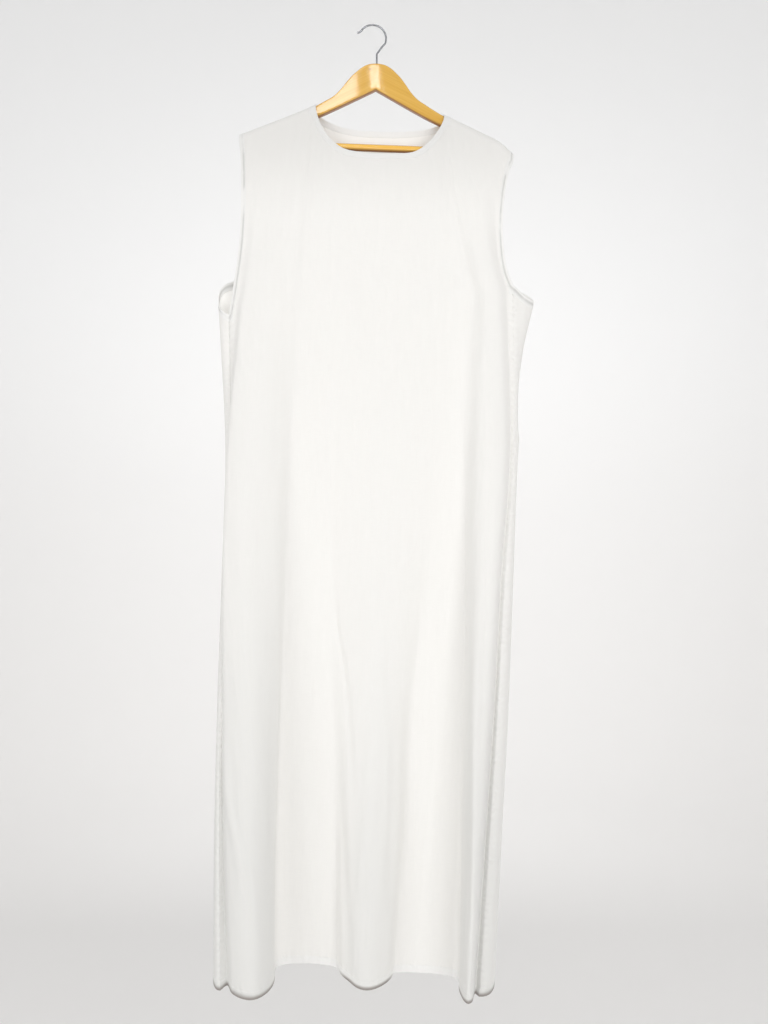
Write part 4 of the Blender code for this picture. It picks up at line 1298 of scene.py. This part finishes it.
class Finish:
    """One material and the nodes that make it."""

    def __init__(self, name, **constants):
        self.material = bpy.data.materials.new(name)
        self.material.use_nodes = True
        tree = self.material.node_tree
        self.nodes = tree.nodes
        self.links = tree.links
        self.surface = tree.nodes["Principled BSDF"]
        for socket, value in constants.items():
            self.surface.inputs[socket.replace("_", " ")].default_value = value

    def node(self, kind, settings, sockets):
        """Any node: its kind, its settings, and the value or link of each of its sockets."""
        made = self.nodes.new(kind)
        for name, value in settings.items():
            setattr(made, name, value)
        for name, value in sockets.items():
            if isinstance(value, Value):
                self.links.new(value.socket, made.inputs[name])
            else:
                made.inputs[name].default_value = value
        return made

    def place(self):
        """The piece's own coordinates."""
        return Value(self, self.node("ShaderNodeTexCoord", {}, {}).outputs["Object"])

    def cloth_place(self):
        """Metres along and up the flat cloth."""
        return Value(self, self.node("ShaderNodeUVMap", {"uv_map": "cloth"}, {}).outputs["UV"])

    def attribute(self, name):
        """One of the piece's own numbers."""
        made = self.node("ShaderNodeAttribute", {"attribute_name": name}, {})
        return Value(self, made.outputs["Fac"])

    def parts(self, place):
        """The three numbers of a place."""
        made = self.node("ShaderNodeSeparateXYZ", {}, {"Vector": place})
        return [Value(self, socket) for socket in made.outputs]

    def scaled(self, parts, lumps):
        """A place from three numbers, each with its own count of lumps to the metre."""
        places = [part * count for part, count in zip(parts, lumps)]
        made = self.node("ShaderNodeCombineXYZ", {}, dict(enumerate(places)))
        return Value(self, made.outputs[0])

    def stretched(self, place, scale):
        """A place with each of its directions scaled."""
        made = self.node("ShaderNodeMapping", {}, {"Vector": place, "Scale": scale})
        return Value(self, made.outputs[0])

    def noise(self, place, detail=2.0, roughness=0.5):
        """Soft noise from nought to one, a unit of the place to each lump."""
        made = self.node(
            "ShaderNodeTexNoise", {},
            {"Vector": place, "Scale": 1.0, "Detail": detail, "Roughness": roughness},
        )
        return Value(self, made.outputs["Fac"])

    def mixed(self, share, first, second):
        """A colour between two others."""
        made = self.node(
            "ShaderNodeMix", {"data_type": "RGBA"},
            {"Factor": share, MIX_FIRST: first, MIX_SECOND: second},
        )
        return Value(self, made.outputs[MIX_RESULT])

    def paint(self, colour, roughness, relief=None, glow=None):
        """Feed what changes over the surface to its sockets. Relief is a height in metres."""
        fed = {"Base Color": colour, "Roughness": roughness, "Emission Color": glow}
        for name, value in fed.items():
            if value is not None:
                self.links.new(value.socket, self.surface.inputs[name])
        if relief is not None:
            bump = self.node("ShaderNodeBump", {}, {"Height": relief, "Distance": 1.0})
            self.links.new(bump.outputs["Normal"], self.surface.inputs["Normal"])
        return self.material


def toned(shade, share=1.0):
    """An opaque colour, this many times as light as a shade."""
    return (*[min(part * share, 1.0) for part in shade], 1.0)


def woven(name, settings, shade, painted_glow=0.0):
    """Light plain-woven cloth: fine weave, slubs, soft wrinkles and puckers along its sewn edges.

    A painted glow on the inside stands in for light that comes through the cloth at the arms. Painted shade
    darkens folds that stand forward, the yoke, the armholes' sewn grooves and the hem's turned edge.
    """
    finish = Finish(
        name, Sheen_Weight=0.25, Sheen_Roughness=0.6, Specular_IOR_Level=0.25,
        Emission_Strength=painted_glow,
    )
    flat = finish.cloth_place()
    across, up, _ = finish.parts(flat)
    seam = finish.attribute("from_seam")
    hem = finish.attribute("from_hem")
    thread = settings.thread_pitch
    weave = across.wave(thread) * up.wave(thread)
    slubs = finish.noise(finish.stretched(flat, WEFT_SLUBS), detail=3.0)
    warp_slubs = finish.noise(finish.stretched(flat, WARP_SLUBS), detail=3.0)
    wrinkles = finish.noise(finish.stretched(flat, WRINKLES), detail=2.5, roughness=0.42)
    drift = finish.noise(finish.stretched(flat, DRIFT))
    seam_puckers = seam.fade(SEAM_PUCKER_REACH) * (up + drift * SEAM_PUCKER_DRIFT).wave(SEAM_PUCKER_PITCH)
    hem_puckers = (hem - HEM_BAND * MM).fade(HEM_PUCKER_REACH)
    hem_puckers = hem_puckers * (across + drift * HEM_PUCKER_DRIFT).wave(HEM_PUCKER_PITCH)
    relief = weave * WEAVE_HEIGHT + slubs * WEFT_SLUB_HEIGHT + warp_slubs * WARP_SLUB_HEIGHT
    soft = wrinkles * WRINKLE_HEIGHT + seam_puckers * SEAM_PUCKER_HEIGHT + hem_puckers * HEM_PUCKER_HEIGHT
    relief = relief + soft * settings.softness
    tone = slubs * 0.5 + warp_slubs * 0.5
    dark, light = (toned(shade, share) for share in THREAD_TONES)
    colour = finish.mixed(tone.between(0.3, 0.7), dark, light)
    place = finish.parts(finish.place())
    drop = place[2] * -1
    # Painted shade: greyer where the cloth stands forward of the back, more so lower down
    fold_shade = (place[1] * -1).between(FOLD_SHADE_FROM * MM, FOLD_SHADE_FULL * MM)
    lower = drop.between(FOLD_SHADE_TOP * MM, FOLD_SHADE_LOW * MM)
    fold_shade = fold_shade * (lower * (1.0 - FOLD_SHADE_LEAST) + FOLD_SHADE_LEAST)
    colour = finish.mixed(fold_shade, colour, toned(settings.fold_shade_colour))
    if not painted_glow:
        facing = 1.0 - place[1].between(0.0, YOKE_BEHIND * MM)
        shoulder = 1.0 - (1.0 - drop.between(YOKE_TOP * MM, YOKE_LOW * MM)) * facing
        colour = finish.mixed(shoulder, toned(shade, YOKE_SHADE), colour)
    side = abs(place[0]).between(SIDE_FROM * MM, SIDE_FULL * MM)
    # The armhole's sewn groove: a dent in the relief, with painted shade in it
    groove_and_shade = (finish.attribute("rim") - GROOVE_AT).fade(GROOVE_WIDTH) * side * drift.between(0.3, 0.55)
    colour = finish.mixed(groove_and_shade * GROOVE_PAINTED_SHADE, colour, toned(GROOVE_SHADOW_GREY))
    # Painted shadow along the hem's turned edge under folds that stand forward
    rim = finish.attribute("rim").between(TURN_FROM, TURN_FULL)
    low = drop.between(HEM_SHADE_TOP * MM, HEM_SHADE_FULL * MM)
    colour = finish.mixed(rim * low * fold_shade.between(0.0, 0.6), colour, toned(HEM_SHADOW_BROWN))
    # The inside's painted glow, whole at the arms
    glow = finish.mixed(side, toned(PAINTED_GLOW_GREY), toned(shade)) if painted_glow else None
    return finish.paint(colour, slubs.spread(*CLOTH_ROUGH), relief - groove_and_shade * GROOVE_DEEP * MM, glow)


def thread_finish(settings):
    """Sewing thread: matt white with a faint twist."""
    finish = Finish("white_thread", Specular_IOR_Level=0.3, Sheen_Weight=0.2)
    place = finish.place()
    twist = finish.noise(finish.stretched(place, TWIST))
    shade = settings.thread_colour
    colour = finish.mixed(twist, toned(shade, TWIST_DARK), toned(shade))
    return finish.paint(colour, twist.spread(*THREAD_ROUGH), twist * TWIST_HEIGHT)


def varnished(name, settings, level):
    """Honey varnished wood, its grain along each arm, or level along the bar."""
    finish = Finish(name, Coat_Weight=1.0, Coat_Roughness=0.03, Specular_IOR_Level=0.1)
    across, depth, height = finish.parts(finish.place())
    out = abs(across - CROWN_ACROSS * MM)
    rise = height + out * (0.0 if level else GRAIN_SLOPE)
    bend = finish.noise(finish.scaled((out, depth, rise), GRAIN_BENDS))
    grain_place = finish.scaled((out, depth, rise + bend * GRAIN_BEND_DEPTH), GRAIN)
    grain = finish.noise(grain_place, detail=4.0, roughness=0.6)
    pores = finish.noise(finish.scaled((out, depth, rise), PORES))
    figure = finish.noise(finish.scaled((out, depth, rise), FIGURE))
    # Painted light: the bar's colour is raised above the arms' against the shade it hangs in
    bar_painted_light = BAR_PAINTED_LIGHT if level else 1.0
    light = toned(settings.wood_light, bar_painted_light)
    dark = toned(settings.wood_dark, bar_painted_light)
    knot_and_shade_brown = toned(settings.wood_knot_and_shade)
    colour = finish.mixed((grain * 0.65 + figure * 0.35).between(0.33, 0.68), light, dark)
    colour = finish.mixed((1.0 - pores.between(0.26, 0.36)) * PORE_SHARE, colour, dark)
    edge = finish.attribute("edge")
    under = finish.attribute("under")
    # Painted shade on edges turned away from the front and on the underside
    turned = edge.between(0.2, 0.9) * EDGE_SHARE + under.between(0.15, 0.7) * UNDER_SHARE
    colour = finish.mixed(turned, colour, knot_and_shade_brown)
    if not level:
        knot = (height - KNOT_HEIGHT * MM).fade(KNOT_HIGH * MM)
        knot = knot * (across - KNOT_ACROSS * MM).fade(KNOT_WIDE * MM)
        colour = finish.mixed(knot * KNOT_SHARE, colour, knot_and_shade_brown)
        mitre = (across - CROWN_ACROSS * MM).fade(MITRE_WIDE * MM)
        colour = finish.mixed(mitre * MITRE_SHARE, colour, knot_and_shade_brown)
    relief = grain * GRAIN_HEIGHT + pores * GRAIN_HEIGHT
    return finish.paint(colour, grain.spread(*WOOD_ROUGH), relief)


def chromed(settings):
    """Polished wire with the faintest drawing marks and rubbed dullness."""
    finish = Finish("polished_wire", Metallic=1.0)
    place = finish.place()
    marks = finish.noise(finish.stretched(place, WIRE_MARKS), detail=3.0)
    dull = finish.noise(finish.stretched(place, WIRE_DULL), detail=3.0)
    shade = settings.wire_colour
    colour = finish.mixed(dull, toned(shade, WIRE_DARK), toned(shade))
    return finish.paint(colour, dull.spread(*WIRE_ROUGH), marks * WIRE_MARK_HEIGHT)


def painted(settings):
    """The room's smooth pale paint, darker towards the floor as painted shade."""
    finish = Finish("pale_paint", Specular_IOR_Level=0.1)
    place = finish.place()
    height = finish.parts(place)[2]
    cloud = finish.noise(place, detail=2.0)
    # Painted shade: darker from the walls down to the floor
    wall = height.between(FLOOR, FLOOR + 2 * ROOM_FILLET)
    colour = finish.mixed(wall, toned(settings.floor_colour), toned(settings.room_colour))
    colour = finish.mixed(cloud * CLOUD_SHARE, colour, toned(settings.floor_colour))
    return finish.paint(colour, cloud.spread(*PAINT_ROUGH))


def shade_property(name, what, default):
    """A colour setting."""
    return bpy.props.FloatVectorProperty(
        name=name, description=what, default=default, subtype="COLOR", min=0.0, max=1.0,
    )


class DressSettings(bpy.types.PropertyGroup):
    """The cloth's sizes and colours."""

    cloth_colour: shade_property("Cloth", "Colour of the woven cloth", CLOTH_WHITE)
    binding_colour: shade_property("Bindings", "Colour of the turned edges", BAND_WHITE)
    # The colour of the painted shade on folds that stand forward
    fold_shade_colour: shade_property(
        "Over hollows", "Thin cloth's colour where no cloth lies close behind", FOLD_SHADE_WHITE,
    )
    thread_colour: shade_property("Thread", "Colour of the sewing thread", THREAD_WHITE)
    thread_pitch: bpy.props.FloatProperty(
        name="Thread pitch", description="From one thread of the weave to the next",
        default=0.0011, min=0.0002, subtype="DISTANCE", unit="LENGTH",
    )
    crease_strength: bpy.props.FloatProperty(
        name="Creases", description="How deep the pressed creases are, 1 as worn", default=1.0, min=0.0,
    )
    # A painted glow on the inside of the cloth, standing in for light that comes through it at the arms
    painted_glow: bpy.props.FloatProperty(
        name="See through", description="How much light comes through the cloth at the arms",
        default=PAINTED_GLOW, min=0.0,
    )
    softness: bpy.props.FloatProperty(
        name="Wrinkles", description="How strong the soft wrinkles and puckers are", default=1.0, min=0.0,
    )


class HangerSettings(bpy.types.PropertyGroup):
    """The hanger's colours."""

    wood_light: shade_property("Light wood", "Colour between the grain lines", WOOD_LIGHT)
    wood_dark: shade_property("Dark wood", "Colour of the grain lines", WOOD_DARK)
    # Also the colour of the painted shade on the wood's turned edges and underside
    wood_knot_and_shade: shade_property("Knot", "Colour of the knot and the joint", WOOD_KNOT_AND_SHADE)
    wire_colour: shade_property("Wire", "Colour of the polished wire", WIRE_BRIGHT)


class StageSettings(bpy.types.PropertyGroup):
    """The room and its lamps."""

    room_colour: shade_property("Walls", "Colour of the room's walls", ROOM_WHITE)
    floor_colour: shade_property("Floor", "Colour of the room's floor", FLOOR_WHITE)
    key_power: bpy.props.FloatProperty(
        name="Key", description="Strength of the large lamp on the right", default=KEY_POWER,
        min=0.0, unit="POWER",
    )
    sky: bpy.props.FloatProperty(
        name="Sky", description="Strength of the light from above", default=SKY_STRENGTH, min=0.0,
    )


class DRESS_OT_lay_cloth(bpy.types.Operator):
    """Lay the front and the back of the dress over their plain panels"""

    bl_idname = "dress.lay_cloth"
    bl_label = "Lay the cloth"

    def execute(self, context):
        settings = context.scene.dress
        front = Panel("front_cloth", FRONT_STATIONS, FRONT_SPANS, FRONT_LEVELS, BACK_LEVELS, 1)
        back = Panel("back_cloth", BACK_STATIONS, BACK_SPANS, BACK_LEVELS, FRONT_LEVELS, -1)
        front.build(
            FRONT_NECK, (FRONT_SHOULDER_LEFT, FRONT_SHOULDER_RIGHT),
            (FRONT_ARMHOLE_LEFT, FRONT_ARMHOLE_RIGHT), ("flank_l", "flank_r"), ("seam_l", "seam_r"),
        )
        back.build(
            BACK_NECK, (BACK_SHOULDER_LEFT, BACK_SHOULDER_RIGHT),
            (BACK_ARMHOLE_LEFT, BACK_ARMHOLE_RIGHT), ("back_2", "back_4"), ("back_1", "back_5"),
        )
        panels = (front, back)
        middles = (front.marks["crest_c"], back.marks["back_3"])
        meshes = [smoothed(grid_mesh(p, middle), p.name) for p, middle in zip(panels, middles)]
        normals, places = shared_normals(meshes)
        cloth = woven("dress_cloth", settings, settings.cloth_colour)
        inside = woven("dress_cloth_inside", settings, settings.cloth_colour, settings.painted_glow)
        tables = (FRONT_CREASES, BACK_CREASES)
        nodes = ("front_panel", "back_panel")
        for mesh, at, out, creases, node in zip(meshes, places, normals, tables, nodes):
            press(mesh, at, out, creases, settings.crease_strength)
            piece = place_piece(mesh.name, mesh, (node,), cloth)
            mesh.materials.append(inside)
            add_modifier(piece, "SOLIDIFY", thickness=SHELL * MM, offset=-1.0, material_offset=1)
        return {"FINISHED"}


class DRESS_OT_bind_edges(bpy.types.Operator):
    """Turn and bind the neck, the armholes and the hem"""

    bl_idname = "dress.bind_edges"
    bl_label = "Bind the edges"

    def execute(self, context):
        settings = context.scene.dress
        cloth = woven("band_cloth", settings, settings.binding_colour)
        dress = whole_dress()
        for kind, name, nodes in BINDINGS:
            bind_edge(dress, kind, name, nodes, cloth)
        dress.free()
        return {"FINISHED"}


class DRESS_OT_sew_stitches(bpy.types.Operator):
    """Sew the row of stitches that holds each turned edge"""

    bl_idname = "dress.sew_stitches"
    bl_label = "Sew the stitches"

    def execute(self, context):
        dress = whole_dress()
        thread = thread_finish(context.scene.dress)
        for kind, name, _ in BINDINGS:
            shape = bmesh.new()
            for line in inner_lines(dress, kind):
                sew(shape, line)
            mesh = finished_mesh(shape, name.replace("binding", "stitches"))
            place_piece(mesh.name, mesh, (), thread)
        dress.free()
        return {"FINISHED"}


class DRESS_OT_declare_cuts(bpy.types.Operator):
    """A step that does nothing"""

    bl_idname = "dress.declare_cuts"
    bl_label = "State the cuts"

    def execute(self, context):
        return {"FINISHED"}


class HANGER_OT_shape_wood(bpy.types.Operator):
    """Shape the hanger's arms and crown and its round bar"""

    bl_idname = "hanger.shape_wood"
    bl_label = "Shape the wood"

    def execute(self, context):
        settings = context.scene.hanger
        arms = varnished("varnished_wood", settings, False)
        body = lofted("hanger_arms", wood_sections())
        mark_edges(body)
        place_piece("hanger_arms", body, ("hanger_body",), arms)
        bar = varnished("varnished_bar", settings, True)
        place_piece("trouser_bar", bar_mesh("trouser_bar"), ("hanger_bar",), bar)
        return {"FINISHED"}


class HANGER_OT_bend_hook(bpy.types.Operator):
    """Bend the hanger's hook from one polished wire"""

    bl_idname = "hanger.bend_hook"
    bl_label = "Bend the hook"

    def execute(self, context):
        data = bpy.data.curves.new("wire_hook", "CURVE")
        data.dimensions = "3D"
        data.bevel_depth = WIRE_RADIUS * MM
        data.bevel_resolution = WIRE_ROUND
        data.use_fill_caps = True
        route = hook_route()
        fine = curve_through(route, (HOOK_STEPS,) * (len(route) - 1))
        spline = data.splines.new("POLY")
        spline.points.add(len(fine) - 1)
        for place, target in zip(fine, spline.points):
            target.co = (*(place * MM), 1.0)
        spline.use_smooth = True
        wire = chromed(context.scene.hanger)
        place_piece("wire_hook", data, ("hanger_hook",), wire)
        return {"FINISHED"}


def lamp(name, place, target, size, power):
    """A flat lamp of a width and height, turned towards a place."""
    light = bpy.data.lights.new(name, "AREA")
    light.shape = "RECTANGLE"
    light.size, light.size_y = size
    light.energy = power
    made = bpy.data.objects.new(name, light)
    made.location = place
    way = Vector(target) - Vector(place)
    made.rotation_euler = way.to_track_quat("-Z", "Y").to_euler()
    made.visible_camera = False
    bpy.context.scene.collection.objects.link(made)


def room_mesh(name):
    """A round floor that curves up into a wall."""
    profile = [Vector((0.0, 0.0, FLOOR)), Vector((ROOM_RADIUS - ROOM_FILLET, 0.0, FLOOR))]
    for step in range(1, FILLET_STEPS + 1):
        angle = math.pi / 2 * step / FILLET_STEPS
        out = ROOM_RADIUS - ROOM_FILLET * (1 - math.sin(angle))
        profile.append(Vector((out, 0.0, FLOOR + ROOM_FILLET * (1 - math.cos(angle)))))
    profile.append(Vector((ROOM_RADIUS, 0.0, ROOM_TOP)))
    shape = bmesh.new()
    start = shape.verts.new(profile[0])
    for place in profile[1:]:
        start = bmesh.ops.extrude_vert_indiv(shape, verts=[start])["verts"][0]
        start.co = place
    bmesh.ops.spin(
        shape, geom=[*shape.verts, *shape.edges], cent=(0.0, 0.0, 0.0), axis=(0.0, 0.0, 1.0),
        angle=2 * math.pi, steps=ROOM_SIDES, use_merge=True,
    )
    bmesh.ops.remove_doubles(shape, verts=shape.verts, dist=MM)
    return finished_mesh(shape, name)


def set_sky(scene):
    """Even light from everywhere."""
    world = bpy.data.worlds.new("pale_sky")
    world.use_nodes = True
    background = world.node_tree.nodes["Background"].inputs
    background["Color"].default_value = (*SKY_COLOUR, 1.0)
    background["Strength"].default_value = scene.stage.sky
    scene.world = world


def set_camera(scene):
    """The camera, level and straight at the front, as in the photo."""
    lens = bpy.data.cameras.new("photo_camera")
    lens.sensor_fit = "AUTO"
    lens.sensor_width = SENSOR
    lens.lens = FOCAL_PIXELS * SENSOR / PICTURE_HEIGHT
    camera = bpy.data.objects.new("photo_camera", lens)
    camera.location = CAMERA_PLACE
    camera.rotation_euler = (math.pi / 2, 0.0, 0.0)
    scene.collection.objects.link(camera)
    scene.camera = camera


class STAGE_OT_set_stage(bpy.types.Operator):
    """Build the pale room, hang its lamps and set the camera"""

    bl_idname = "stage.set_stage"
    bl_label = "Set the stage"

    def execute(self, context):
        scene = context.scene
        room = bpy.data.objects.new("pale_room", room_mesh("pale_room"))
        room.data.materials.append(painted(scene.stage))
        room.location.y = ROOM_BACK
        scene.collection.objects.link(room)
        for name, place, target, size, share in LAMPS:
            lamp(name, place, target, size, share * scene.stage.key_power)
        set_sky(scene)
        set_camera(scene)
        scene.view_settings.view_transform = "Standard"
        return {"FINISHED"}


class DRESS_PT_sidebar(bpy.types.Panel):
    """The sidebar's list of the dress's settings and steps"""

    bl_idname = "DRESS_PT_sidebar"
    bl_label = "Dress on a hanger"
    bl_space_type = "VIEW_3D"
    bl_region_type = "UI"
    bl_category = "Dress"

    def draw(self, context):
        layout = self.layout
        for group in (context.scene.dress, context.scene.hanger, context.scene.stage):
            for name in group.bl_rna.properties.keys():
                if name not in ("rna_type", "name"):
                    layout.prop(group, name)
        for operator in OPERATORS:
            layout.operator(operator.bl_idname)


GROUPS = {"dress": DressSettings, "hanger": HangerSettings, "stage": StageSettings}
OPERATORS = (
    DRESS_OT_lay_cloth, DRESS_OT_bind_edges, DRESS_OT_sew_stitches, HANGER_OT_shape_wood,
    HANGER_OT_bend_hook, DRESS_OT_declare_cuts, STAGE_OT_set_stage,
)


def register():
    """Add the settings, the operators and the panel."""
    for name, group in GROUPS.items():
        bpy.utils.register_class(group)
        setattr(bpy.types.Scene, name, bpy.props.PointerProperty(type=group))
    for made in (*OPERATORS, DRESS_PT_sidebar):
        bpy.utils.register_class(made)


def unregister():
    """Take them away again."""
    for made in reversed((*OPERATORS, DRESS_PT_sidebar)):
        bpy.utils.unregister_class(made)
    for name, group in GROUPS.items():
        delattr(bpy.types.Scene, name)
        bpy.utils.unregister_class(group)


def main():
    """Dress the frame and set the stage."""
    register()
    bpy.ops.dress.lay_cloth()
    bpy.ops.dress.bind_edges()
    bpy.ops.dress.sew_stitches()
    bpy.ops.hanger.shape_wood()
    bpy.ops.hanger.bend_hook()
    bpy.ops.dress.declare_cuts()
    bpy.ops.stage.set_stage()


if __name__ == "__main__":
    main()
